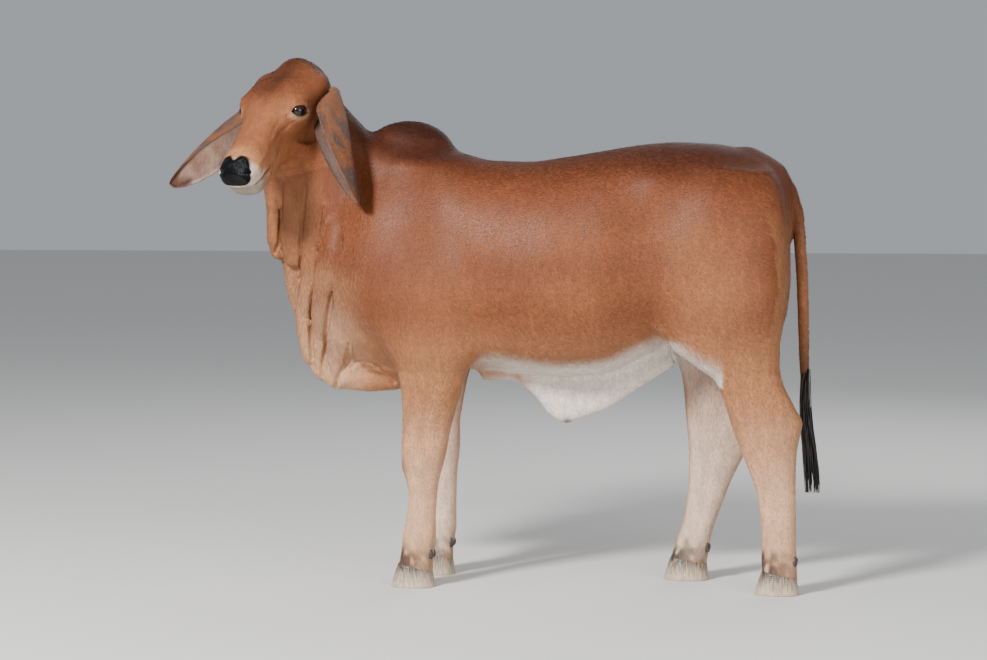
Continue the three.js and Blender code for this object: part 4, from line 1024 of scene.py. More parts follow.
class Markings:
    """Colours of the coat and bare skin, the same for the skin and the hair that grows on it."""

    RED = linear("#88502f")
    DEEP = linear("#6a351b")
    SMOKE = linear("#371507")
    TAN = linear("#bf865c")
    FAWN = linear("#dfb592")
    CREAM = linear("#e0d6ca")
    DARK = linear("#2c2220")
    NOSE = linear("#070709")
    PALE_LIP = linear("#d3c5b4")
    CHIN = linear("#877b71")
    NAVEL_TIP = (206.0, -10.0, 446.0)
    # Half width and height of the bare nose, and the height of its middle, in millimetres.
    PAD_WIDTH = 50.0
    PAD_ABOVE = 41.0
    PAD_BELOW = 29.0
    PAD_MIDDLE = 4.0

    def __init__(self, head: Head) -> None:
        """Keeps the head, which the face is coloured by."""
        self.head = head

    @staticmethod
    def mixed(base: Array, colour: Array, amount: Array) -> Array:
        """Goes from the base towards a colour by the amount at each place."""
        share = np.clip(amount, 0, 1)[:, None]
        return base * (1 - share) + colour * share

    @staticmethod
    def patchy(p: Array, scale: float, seed: int) -> Array:
        """Soft blotches between 0 and 1, from a few crossed waves."""
        rng = np.random.default_rng(seed)
        total = np.zeros(len(p))
        for _ in range(7):
            wave = rng.normal(size=3)
            wave *= rng.uniform(0.6, 1.8) / (np.linalg.norm(wave) * scale)
            total += np.sin(p @ wave * 2 * math.pi + rng.uniform(0, 6.3))
        return 0.5 + total / 7.5

    def colour(self, p: Array, n: Array) -> Array:
        """Linear colour at each point of the animal's space with its normal.

        Args:
            p: points of the animal's space, one row each.
            n: the normal at each point.

        Returns:
            One value or row for each point.
        """
        q = self.head.pose.to_head(p)
        t, u, v = q.T
        face = smoothstep(t, -30, 30) * (np.abs(u) < 135) * (np.abs(v) < 150)
        face = face * (p[:, 0] < -420) * (p[:, 2] > 1040)
        base = self.trunk(p, n, face)
        base = self.throat(base, p)
        base = self.underside(base, p, n)
        base = self.feet(base, p, n)
        base = self.rear(base, p)
        base = self.forehead(base, q, face)
        base = self.eyes(base, q, face)
        base = self.muzzle(base, p, q, face)
        return self.mixed(base, self.NOSE, self.wet(p))

    def trunk(self, p: Array, n: Array, face: Array) -> Array:
        """Red, smoky along the topline, hump and rump, lighter on the low flank and legs, with painted
        sunlight on the thigh.

        Args:
            p: points of the animal's space, one row each.
            n: the normal at each point.
            face: how far each point belongs to the face.

        Returns:
            One value or row for each point.
        """
        x, y, z = p.T
        base = self.mixed(np.tile(self.RED, (len(p), 1)), self.DEEP, 0.8 * self.patchy(p, 260, 1) - 0.1)
        base = self.mixed(base, self.DEEP, 0.75 * smoothstep(z, 700, 1150) * (1 - face))
        top = smoothstep(z, 1060, 1200) * smoothstep(n[:, 2], 0.05, 0.8)
        hump = bell(x, -190, 130) * smoothstep(z, 1130, 1230)
        base = self.mixed(base, self.SMOKE, (0.62 * top + 0.5 * hump) * (1 - face))
        base = self.mixed(base, self.SMOKE, 0.5 * bell(x, 580, 190) * smoothstep(z, 1060, 1180))
        low = 1 - smoothstep(z, 560, 800)
        base = self.mixed(base, self.TAN, 0.5 * low * (x > -420))
        base = self.mixed(base, self.FAWN, 0.62 * (1 - smoothstep(z, 230, 560)))
        # Painted sunlight: the back of the thigh is made paler, as if the sun fell on it.
        thigh = smoothstep(x, 720, 800) * (np.abs(y) < 190)
        thigh = thigh * smoothstep(z, 480, 700) * (1 - smoothstep(z, 900, 1100))
        return self.mixed(base, self.TAN, 0.35 * thigh)

    def throat(self, base: Array, p: Array) -> Array:
        """Fawn on the dewlap and brisket, and a paler patch of painted sunlight on the thigh."""
        x, y, z = p.T
        low = 1 - smoothstep(z + 60 * self.patchy(p, 130, 21), 640, 960)
        throat = (1 - smoothstep(x, -440, -300)) * low * smoothstep(z, 480, 520)
        base = self.mixed(base, self.FAWN, 0.5 * throat)
        front = (1 - smoothstep(x, -520, -430)) * (1 - smoothstep(z, 1020, 1180)) * (z > 500)
        base = self.mixed(base, self.TAN, 0.35 * front)
        # Painted sunlight: a paler patch on the side of the thigh, as if lit by the sun.
        return self.mixed(base, self.TAN, 0.22 * bell(x, 610, 130) * bell(z, 800, 190) * (np.abs(y) > 100))

    def underside(self, base: Array, p: Array, n: Array) -> Array:
        """Cream below the belly, on the navel flap with its dark tip, in the groin and inside the legs.

        Args:
            base: the colours so far.
            p: points of the animal's space, one row each.
            n: the normal at each point.

        Returns:
            One value or row for each point.
        """
        x, y, z = p.T
        wander = 22 * self.patchy(p, 120, 8)
        under = smoothstep(-n[:, 2], 0.55, 0.92) * (1 - smoothstep(z, 650, 720)) * (z > 430)
        under *= smoothstep(x, -100, 80) * (1 - smoothstep(np.abs(y), 120, 175))
        groin = smoothstep(x, 380, 470) * (1 - smoothstep(z + wander, 668, 700)) * (z > 560) * (x < 640)
        groin *= (1 - smoothstep(np.abs(y), 170, 215)) * smoothstep(-n[:, 2], 0.1, 0.5)
        edge = z + 0.5 * wander - 0.34 * np.maximum(x - 230, 0)
        flap = (1 - smoothstep(np.abs(y), 42, 66)) * (1 - smoothstep(edge, 572, 606)) * (z > 430) * (x < 600)
        flap *= smoothstep(x, 40, 130)
        base = self.mixed(base, self.CREAM, 0.9 * np.maximum(np.maximum(under, groin), flap))
        inner = smoothstep(-n[:, 1] * np.sign(y), 0.1, 0.8) * (1 - smoothstep(z, 620, 740)) * (z > 60)
        base = self.mixed(base, self.CREAM, 0.38 * inner * (x > -420))
        return self.mixed(base, self.DARK, 0.85 * bell(np.linalg.norm(p - self.NAVEL_TIP, axis=1), 0, 13))

    def feet(self, base: Array, p: Array, n: Array) -> Array:
        """Dark mottled fetlocks and pasterns, and darker knees."""
        z = p[:, 2]
        mottle = self.patchy(p, 40, 5)
        fetlock = (1 - smoothstep(z - 34 * mottle, 62, 112)) * smoothstep(mottle, 0.0, 0.45)
        front = 0.45 + 0.55 * smoothstep(-n[:, 0], -0.6, 0.5)
        base = self.mixed(base, self.DARK, 0.88 * fetlock * front)
        knee = bell(z, 330, 26) * smoothstep(-n[:, 0], 0.2, 0.9) * (p[:, 0] < 0)
        return self.mixed(base, self.DEEP, 0.55 * knee)

    def rear(self, base: Array, p: Array) -> Array:
        """Smoky tail above the switch, and bare dark skin below the root of the tail."""
        x, y, z = p.T
        tail = (x > 812) * (np.abs(y) < 34) * (z > 480) * (1 - smoothstep(z, 520, 800))
        base = self.mixed(base, self.SMOKE, 0.85 * tail)
        bare = bell(x, 806, 26) * bell(np.abs(y), 0, 22) * bell(z, 985, 70)
        return self.mixed(base, self.SMOKE, 0.8 * bare)

    def forehead(self, base: Array, q: Array, face: Array) -> Array:
        """Smoky forehead with a darker streak, and lighter bridge and cheeks."""
        t, u, v = q.T
        brow = (1 - smoothstep(t, 150, 250)) * smoothstep(v, 40, 75)
        base = self.mixed(base, self.SMOKE, 0.62 * face * bell(u + 4, 0, 58) * brow)
        base = self.mixed(base, self.SMOKE, 0.35 * face * bell(u - 10, 0, 14) * brow)
        cheek = smoothstep(t, 60, 160) * (1 - brow) * smoothstep(v, -110, -40)
        base = self.mixed(base, self.TAN, 0.1 * face * cheek)
        return self.mixed(base, self.TAN, face * 0.45 * smoothstep(t, 215, 330) * smoothstep(-v, -50, 30))

    def eyes(self, base: Array, q: Array, face: Array) -> Array:
        """Pale skin below each eye and dark bare rims on its lids."""
        for side in BOTH:
            centre, axes = self.head.eye_frame(side)
            a, b, out = ((q - centre) @ axes.T).T
            ring = np.hypot(a / 1.5, b)
            pale = bell(ring, 21, 6) * (out > -4) * smoothstep(-b, -14, 12)
            base = self.mixed(base, self.FAWN, face * 0.3 * pale)
            rim = np.maximum(ring - 13.4, 0) + 0.12 * np.maximum(np.abs(a) - 20, 0)
            base = self.mixed(base, self.DARK, face * 0.96 * (1 - smoothstep(rim, 0.4, 3.0)) * (out > -2))
        return base

    def muzzle(self, base: Array, p: Array, q: Array, face: Array) -> Array:
        """Pale ragged ring round the nose, greyer chin and dark mouth line.

        Args:
            base: the colours so far.
            p: points of the animal's space, one row each.
            q: points, one row each.
            face: how far each point belongs to the face.

        Returns:
            One value or row for each point.
        """
        t, _, v = q.T
        reach = t + 9 * self.patchy(p, 22, 14)
        lip = smoothstep(reach - 0.35 * np.clip(v, 0, 45), 388, 414) * (t > 330)
        low_lip = smoothstep(-v, 6, 24) * (1 - smoothstep(-v, 30, 34)) * smoothstep(reach, 366, 396)
        base = self.mixed(base, self.TAN, face * 0.5 * smoothstep(reach, 350, 390))
        base = self.mixed(base, self.PALE_LIP, face * 0.8 * np.maximum(lip, low_lip))
        base = self.mixed(
            base, self.CHIN, face * 0.75 * smoothstep(-v, 34, 46) * smoothstep(reach, 350, 400)
        )
        s = self.head.sizes
        height = v - s.mouth_height + s.mouth_bow * (t - s.mouth_middle) ** 2
        seam = bell(height, 0, 2.6) * smoothstep(t, 330, 350) * (t < 470)
        return self.mixed(base, self.DARK, face * 0.8 * seam)

    def rippled(self, p: Array) -> Array:
        """How far fine upright wrinkles run over each place: most on the neck, dewlap and shoulder."""
        t, u, v = self.head.pose.to_head(p).T
        face = (t > 20) & (np.abs(u) < 125) & (np.abs(v) < 130)
        amount = (1 - smoothstep(p[:, 0], -240, 40)) * smoothstep(p[:, 2], 560, 640)
        return amount * (1 - 0.85 * face) * (0.4 + 0.6 * self.patchy(p, 150, 31))

    def wet(self, p: Array) -> Array:
        """How far each point lies on the bare wet nose, 0 to 1."""
        t, u, v = self.head.pose.to_head(p).T
        rise = v - self.PAD_MIDDLE
        dip = 5 * bell(u, 0, 12)
        across = np.abs(u) / self.PAD_WIDTH
        above = np.where(
            rise > 0, rise / (self.PAD_ABOVE - self.PAD_MIDDLE + 4 - dip), -rise / self.PAD_BELOW
        )
        pad = 1 - smoothstep((across**2.6 + above**2.6) ** (1 / 2.6), 0.95, 1.04)
        return pad * smoothstep(t, 392, 398) * (t < 470)


def mesh_object(name: str, points: Array, faces: Array) -> bpy.types.Object:
    """A linked mesh object from points in metres.

    Args:
        name: the object's name.
        points: one row for each point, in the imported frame.
        faces: one row for each face, as numbers of points.

    Returns:
        The object.
    """
    mesh = bpy.data.meshes.new(name)
    mesh.vertices.add(len(points))
    mesh.vertices.foreach_set("co", np.asarray(points, np.float32).ravel())
    mesh.loops.add(len(faces) * 3)
    mesh.loops.foreach_set("vertex_index", faces.astype(np.int32).ravel())
    mesh.polygons.add(len(faces))
    mesh.polygons.foreach_set("loop_start", np.arange(0, len(faces) * 3, 3, dtype=np.int32))
    mesh.update(calc_edges=True)
    mesh.polygons.foreach_set("use_smooth", np.ones(len(mesh.polygons), bool))
    mesh.update()
    piece = bpy.data.objects.new(name, mesh)
    bpy.context.scene.collection.objects.link(piece)
    return piece


def paint(piece: bpy.types.Object, name: str, colours: Array) -> None:
    """Stores a colour with alpha for each point of a mesh."""
    layer = piece.data.color_attributes.new(name, "FLOAT_COLOR", "POINT")
    layer.data.foreach_set("color", np.asarray(colours, np.float32).ravel())


def unwrap(piece: bpy.types.Object) -> None:
    """Unwraps a mesh into a UV map that textures can be baked through."""
    piece.data.uv_layers.new(name="OFBake")
    bpy.ops.object.select_all(action="DESELECT")
    bpy.context.view_layer.objects.active = piece
    piece.select_set(True)
    bpy.ops.object.mode_set(mode="EDIT")
    bpy.ops.mesh.select_all(action="SELECT")
    bpy.ops.uv.smart_project(angle_limit=math.radians(66), island_margin=0.001)
    bpy.ops.object.mode_set(mode="OBJECT")
    piece.select_set(False)


def add_node(
    tree: bpy.types.NodeTree, kind: str, settings: dict | None = None, **links: bpy.types.NodeSocket
) -> bpy.types.Node:
    """Adds one shader node.

    Args:
        tree: the node tree.
        kind: the node's type.
        settings: attributes of the node, and values of its inputs by name or number.
        links: output sockets to link to inputs, by input name with underscores for spaces.

    Returns:
        The node.
    """
    node = tree.nodes.new(kind)
    for key, value in (settings or {}).items():
        if isinstance(key, str) and hasattr(node, key):
            setattr(node, key, value)
        else:
            node.inputs[key].default_value = value
    for key, socket in links.items():
        target = key.replace("_", " ")
        tree.links.new(socket, node.inputs[int(key[1:]) if key[1:].isdigit() else target])
    return node


def new_material(name: str) -> tuple[bpy.types.Material, bpy.types.NodeTree, bpy.types.Node]:
    """An empty material with a principled shader."""
    material = bpy.data.materials.new(name)
    material.use_nodes = True
    tree = material.node_tree
    return material, tree, tree.nodes["Principled BSDF"]


@dataclass(frozen=True)
class CoatFinish:
    """Short flat hair over skin, with a soft sheen; wet leather where the nose is bare."""

    roughness: float = 0.66
    wet_roughness: float = 0.24
    sheen: float = 0.03
    grain: float = 0.6
    # Streaks of hair, patches of tone and wrinkles along X, Y and Z, then the nose's pores, in millimetres.
    streak: Triple = (1000 / 260, 1000 / 420, 1000 / 70)
    patch: Triple = (1000 / 48, 1000 / 60, 1000 / 14)
    wrinkle: Triple = (1000 / 30, 1000 / 30, 250.0)
    pore: float = 1000 / 420

    def make(self) -> bpy.types.Material:
        """Hair lies as fine streaks that catch the light; its colour wanders a little from lock to lock.

        Returns:
            The material.
        """
        material, tree, shader = new_material("short cattle hair on skin")
        spot = add_node(tree, "ShaderNodeTexCoord").outputs["Object"]
        colour = add_node(tree, "ShaderNodeVertexColor", {"layer_name": "coat"})
        streak_map = add_node(tree, "ShaderNodeMapping", {"Scale": per_metre(*self.streak)}, Vector=spot)
        streak = add_node(
            tree, "ShaderNodeTexNoise", {"Scale": 1.0, "Detail": 3.0}, Vector=streak_map.outputs[0]
        )
        grain_map = add_node(tree, "ShaderNodeMapping", {"Scale": per_metre(*self.patch)}, Vector=spot)
        grain = add_node(
            tree, "ShaderNodeTexNoise", {"Scale": 1.0, "Detail": 4.0}, Vector=grain_map.outputs[0]
        )
        both = add_node(
            tree, "ShaderNodeMath", {"operation": "ADD"}, i0=streak.outputs[0], i1=grain.outputs[0]
        )
        shade = add_node(tree, "ShaderNodeMapRange", {1: 0.7, 2: 1.3, 3: 0.72, 4: 1.26}, i0=both.outputs[0])
        tint = add_node(tree, "ShaderNodeMix", {"data_type": "RGBA", "blend_type": "MULTIPLY", 0: 1.0})
        tree.links.new(colour.outputs["Color"], tint.inputs[6])
        tree.links.new(shade.outputs[0], tint.inputs[7])
        tree.links.new(tint.outputs[2], shader.inputs["Base Color"])
        rough = add_node(
            tree, "ShaderNodeMapRange", {1: 0.0, 2: 1.0, 3: self.wet_roughness, 4: self.roughness}
        )
        tree.links.new(colour.outputs["Alpha"], rough.inputs[0])
        tree.links.new(rough.outputs[0], shader.inputs["Roughness"])
        gloss = add_node(
            tree, "ShaderNodeMapRange", {1: 0.0, 2: 1.0, 3: 0.2, 4: 0.5}, i0=colour.outputs["Alpha"]
        )
        tree.links.new(gloss.outputs[0], shader.inputs["Specular IOR Level"])
        pores = add_node(tree, "ShaderNodeTexVoronoi", {"Scale": per_metre(self.pore)[0]}, Vector=spot)
        height = add_node(tree, "ShaderNodeMix", {"data_type": "FLOAT"}, Factor=colour.outputs["Alpha"])
        tree.links.new(pores.outputs["Distance"], height.inputs[2])
        tree.links.new(streak.outputs[0], height.inputs[3])
        bump = add_node(
            tree, "ShaderNodeBump", {"Strength": self.grain, "Distance": 0.0012}, Height=height.outputs[0]
        )
        ripple_map = add_node(tree, "ShaderNodeMapping", {"Scale": per_metre(*self.wrinkle)}, Vector=spot)
        ripple = add_node(
            tree, "ShaderNodeTexNoise", {"Scale": 1.0, "Detail": 2.0}, Vector=ripple_map.outputs[0]
        )
        where = add_node(tree, "ShaderNodeAttribute", {"attribute_name": "ripple"})
        depth = add_node(
            tree, "ShaderNodeMath", {"operation": "MULTIPLY"}, i0=ripple.outputs[0], i1=where.outputs["Fac"]
        )
        folds = add_node(
            tree, "ShaderNodeBump", {"Strength": 0.6, "Distance": 0.007}, Height=depth.outputs[0]
        )
        tree.links.new(bump.outputs[0], folds.inputs["Normal"])
        tree.links.new(folds.outputs[0], shader.inputs["Normal"])
        shader.inputs["Sheen Weight"].default_value = self.sheen
        shader.inputs["Sheen Roughness"].default_value = 0.4
        shader.inputs["IOR"].default_value = 1.3
        return material


@dataclass(frozen=True)
class TuftFinish:
    """The coat's own hairs, in the colour of the skin that they grow on."""

    roughness: float = 0.5

    def make(self) -> bpy.types.Material:
        """Hair is smooth, so each tuft has a soft light along it."""
        material, tree, shader = new_material("cattle hair")
        colour = add_node(tree, "ShaderNodeVertexColor", {"layer_name": "coat"})
        tree.links.new(colour.outputs["Color"], shader.inputs["Base Color"])
        shader.inputs["Roughness"].default_value = self.roughness
        shader.inputs["Sheen Weight"].default_value = 0.03
        shader.inputs["IOR"].default_value = 1.36
        return material


@dataclass(frozen=True)
class EyeFinish:
    """A wet, very dark brown eye with a wide level pupil."""

    iris: str = "#180d08"
    pupil: str = "#050506"
    white: str = "#2a1f1b"

    def make(
        self, out: Vector, slit: Vector, across: Vector, centre: Vector, radius: float
    ) -> bpy.types.Material:
        """Rings of colour round the eye's own axis, under a wet surface that mirrors the lights.

        Args:
            out: the way the eye looks; not used.
            slit: the level direction across the eye.
            across: the upright direction across the eye.
            centre: the eyeball's centre in metres.
            radius: the eyeball's radius in metres.

        Returns:
            The material.
        """
        material, tree, shader = new_material("wet eyeball")
        spot = add_node(tree, "ShaderNodeTexCoord").outputs["Object"]
        away = add_node(tree, "ShaderNodeVectorMath", {"operation": "SUBTRACT", 1: tuple(centre)}, i0=spot)
        sums = []
        for axis, stretch in ((slit, 1.0), (across, 1.7)):
            way = {"operation": "DOT_PRODUCT", 1: tuple(axis * (stretch / radius))}
            part = add_node(tree, "ShaderNodeVectorMath", way, i0=away.outputs[0])
            square = add_node(
                tree, "ShaderNodeMath", {"operation": "POWER", 1: 2.0}, i0=part.outputs["Value"]
            )
            sums.append(square.outputs[0])
        total = add_node(tree, "ShaderNodeMath", {"operation": "ADD"}, i0=sums[0], i1=sums[1])
        ramp = add_node(tree, "ShaderNodeValToRGB", Fac=total.outputs[0])
        ramp.color_ramp.elements[0].position = 0.16
        ramp.color_ramp.elements[0].color = (*linear(self.pupil), 1)
        ramp.color_ramp.elements[1].position = 0.30
        ramp.color_ramp.elements[1].color = (*linear(self.iris), 1)
        rim = ramp.color_ramp.elements.new(0.95)
        rim.color = (*linear(self.white), 1)
        tree.links.new(ramp.outputs[0], shader.inputs["Base Color"])
        shader.inputs["Roughness"].default_value = 0.08
        shader.inputs["IOR"].default_value = 1.34
        shader.inputs["Coat Weight"].default_value = 0.4
        shader.inputs["Coat Roughness"].default_value = 0.02
        return material


@dataclass(frozen=True)
class HornFinish:
    """Horn of a hoof: pale and streaked, darker at its top."""

    pale: str = "#cbb59b"
    dark: str = "#3b302b"
    # Streaks along X, Y and Z and the gap between growth rings, in millimetres.
    fibre: Triple = (10 / 3, 10 / 3, 1000 / 24)
    ring_gap: float = 100 * math.pi / 60

    def make(self) -> bpy.types.Material:
        """Growth rings run level round the hoof and fine streaks run down it.

        Returns:
            The material.
        """
        material, tree, shader = new_material("hoof horn")
        spot = add_node(tree, "ShaderNodeTexCoord").outputs["Object"]
        streak_map = add_node(tree, "ShaderNodeMapping", {"Scale": per_metre(*self.fibre)}, Vector=spot)
        streak = add_node(
            tree, "ShaderNodeTexNoise", {"Scale": 1.0, "Detail": 3.0}, Vector=streak_map.outputs[0]
        )
        split = add_node(tree, "ShaderNodeSeparateXYZ", Vector=spot)
        height = add_node(
            tree, "ShaderNodeMapRange", {1: 0.012, 2: 0.064, 3: 0.0, 4: 0.5}, i0=split.outputs[2]
        )
        weighted = {"operation": "MULTIPLY_ADD", 1: 0.9}
        total = add_node(tree, "ShaderNodeMath", weighted, i0=streak.outputs[0], i2=height.outputs[0])
        ramp = add_node(tree, "ShaderNodeValToRGB", Fac=total.outputs[0])
        ramp.color_ramp.elements[0].position = 0.35
        ramp.color_ramp.elements[0].color = (*linear(self.pale), 1)
        ramp.color_ramp.elements[1].position = 0.95
        ramp.color_ramp.elements[1].color = (*linear(self.dark), 1)
        tree.links.new(ramp.outputs[0], shader.inputs["Base Color"])
        level = {"bands_direction": "Z", "Scale": 100 * math.pi / self.ring_gap, "Distortion": 2.0}
        rings = add_node(tree, "ShaderNodeTexWave", level, Vector=spot)
        bump = add_node(
            tree, "ShaderNodeBump", {"Strength": 0.35, "Distance": 0.0008}, Height=rings.outputs[1]
        )
        tree.links.new(bump.outputs[0], shader.inputs["Normal"])
        shader.inputs["Roughness"].default_value = 0.45
        return material


@dataclass(frozen=True)
class SwitchFinish:
    """Long black hair of the tail's end."""

    hair: str = "#17120f"

    def make(self) -> bpy.types.Material:
        """Long hair is smoother than the coat and shines a little along its length."""
        material, _, shader = new_material("long black tail hair")
        shader.inputs["Base Color"].default_value = (*linear(self.hair), 1)
        shader.inputs["Roughness"].default_value = 0.38
        return material


@dataclass(frozen=True)
class StudioFinish:
    """Plain pale floor."""

    colour: str = "#d9d8d4"

    def make(self) -> bpy.types.Material:
        """Matt, so that it only takes the soft shadow."""
        material, _, shader = new_material("pale studio floor")
        shader.inputs["Base Color"].default_value = (*linear(self.colour), 1)
        shader.inputs["Roughness"].default_value = 0.9
        return material


@dataclass(frozen=True)
class EarSizes:
    """An ear in millimetres: where it grows, hangs and ends, and which way its back faces."""

    root: tuple[float, float, float]
    bend: tuple[float, float, float]
    tip: tuple[float, float, float]
    back: tuple[float, float, float]
    width: float = 152.0
    thick: float = 7.0
    deep: float = 1.7
    narrow: float = 0.72


class Ear:
    """A leaf of skin and gristle, rolled to a tube at its root and cupped along its length."""

    FORM = [
        [0, 0.42, 250], [0.1, 0.5, 235], [0.22, 0.72, 195], [0.4, 0.97, 155], [0.58, 1.04, 125],
        [0.75, 0.95, 100], [0.88, 0.76, 80], [0.96, 0.5, 64], [1, 0.26, 54],
    ]
    STEPS = 64
    ACROSS = 33
    BACK = linear("#7a4c33")
    BACK_PATCH = linear("#4c423e")
    PINK = linear("#c79a86")
    PALE_PINK = linear("#e2c2b0")
    GREY = linear("#4a4a50")
    # Painted shade for the cupped inside of the ear.
    SHADE = linear("#3a2216")
    TIP = linear("#6b3f2a")
    RIM = linear("#3a2a22")

    def __init__(self, name: str, sizes: EarSizes, side: Side) -> None:
        """Makes the ear."""
        self.name = name
        self.sizes = sizes
        self.side = side
        self.surface, self.shares, self.turns, self.inside = self.make()

    def spine(self, share: float) -> tuple[Array, Array]:
        """Point and direction of the ear's middle line."""
        a, b, c = (np.array(p) for p in (self.sizes.root, self.sizes.bend, self.sizes.tip))
        at = (1 - share) ** 2 * a + 2 * share * (1 - share) * b + share**2 * c
        ahead = 2 * (1 - share) * (b - a) + 2 * share * (c - b)
        return at, ahead / np.linalg.norm(ahead)

    def make(self) -> tuple[Surface, Array, Array, Array]:
        """The ear's closed sheet, and where each point lies on it.

        Returns:
            The mesh, how far along and across the ear each point lies, and which lie inside.
        """
        form = Table(self.FORM)
        points, shares, turns, inside = [], [], [], []
        steps = np.linspace(-1, 1, self.ACROSS)
        for i in range(self.STEPS + 1):
            share = i / self.STEPS
            width_share, roll = form(np.array([share]))[0]
            centre, ahead = self.spine(share)
            rear = np.array(self.sizes.back, float)
            rear -= ahead * (rear @ ahead)
            rear /= np.linalg.norm(rear)
            across = np.cross(ahead, rear) * self.side.value
            width = max(self.sizes.width * width_share * 1.12, 8)
            angle = math.radians(roll)
            radius = width / angle
            thick = self.sizes.thick * (1 - 0.5 * share) - 2.4
            folded = float(smoothstep(np.array(share), 0.08, 0.4))
            deep = 1 + (self.sizes.deep - 1) * folded
            narrow = 1 + (self.sizes.narrow - 1) * folded
            for wall, order in ((1, steps), (-1, steps[::-1])):
                for turn in order:
                    rim = 1 - 0.55 * abs(turn) ** 6
                    ripple = 1.4 * math.sin(9 * turn + 7 * share) * math.sin(math.pi * share)
                    ripple *= 1 - abs(turn) ** 4
                    vein = 0.8 * math.exp(-(((turn - 0.25 * math.sin(5 * share)) / 0.06) ** 2)) * (wall < 0)
                    r = radius + wall * (thick / 2) * rim + 0.6 * ripple - vein
                    a = turn * angle * 0.5
                    outward = rear * deep * (r * math.cos(a) - radius)
                    points.append(centre + across * narrow * r * math.sin(a) + outward)
                    shares.append(share)
                    turns.append(turn)
                    inside.append(wall < 0)
        surface = lofted(np.array(points).reshape(self.STEPS + 1, -1, 3))
        middles = np.array([False, False])
        return surface, np.array([*shares, 0, 1]), np.array([*turns, 0, 0]), np.concatenate([inside, middles])

    def flow(self, p: Array) -> Array:
        """The way the ear's hair lies: towards its tip."""
        return np.tile(self.spine(0.6)[1], (len(p), 1))

    @staticmethod
    def length(p: Array) -> Array:
        """The ear's hair is equally long all over."""
        return np.ones(len(p))

    def colours(self) -> Array:
        """Pink and grey inside with painted shade in its cupped upper half, brown-grey outside with a darker
        rim.

        Returns:
            One value or row for each point.
        """
        p = self.surface.points
        patch = Markings.patchy(p, 70, 11 + self.side.value)
        dark = 0.75 * smoothstep(patch, 0.35, 0.75) * smoothstep(self.shares, 0.2, 0.5)
        out = Markings.mixed(np.tile(self.BACK, (len(p), 1)), self.BACK_PATCH, dark)
        skin = Markings.mixed(np.tile(self.PINK, (len(p), 1)), self.PALE_PINK, patch)
        lower = self.side.value * self.turns
        grey = smoothstep(Markings.patchy(p, 90, 23 + self.side.value), 0.5, 0.75)
        skin = Markings.mixed(skin, self.GREY, 0.8 * grey * smoothstep(lower, 0.45, 0.8))
        # Painted shade: the upper half of the inside, under the overhanging rim, is darkened as if in shadow.
        skin = Markings.mixed(skin, self.SHADE, 0.92 * smoothstep(-lower, -0.1, 0.3))
        skin = Markings.mixed(skin, self.TIP, 0.8 * smoothstep(self.shares, 0.9, 0.98))
        both = np.where(self.inside[:, None], skin, out)
        rim = smoothstep(np.abs(self.turns), 0.9, 1.0)
        return Markings.mixed(both, self.RIM, 0.65 * rim)

    def build(self, finish: bpy.types.Material) -> bpy.types.Object:
        """Makes the object."""
        piece = mesh_object(self.name, place(self.surface.points), self.surface.faces)
        paint(piece, "coat", np.concatenate([self.colours(), np.ones((len(self.surface.points), 1))], 1))
        piece.data.materials.append(finish)
        unwrap(piece)
        return piece


@dataclass(frozen=True)
class Region:
    """A part of the coat: how long, wide, upright and many its tufts are."""

    name: str
    count: int
    length: float
    width: float
    lift: float


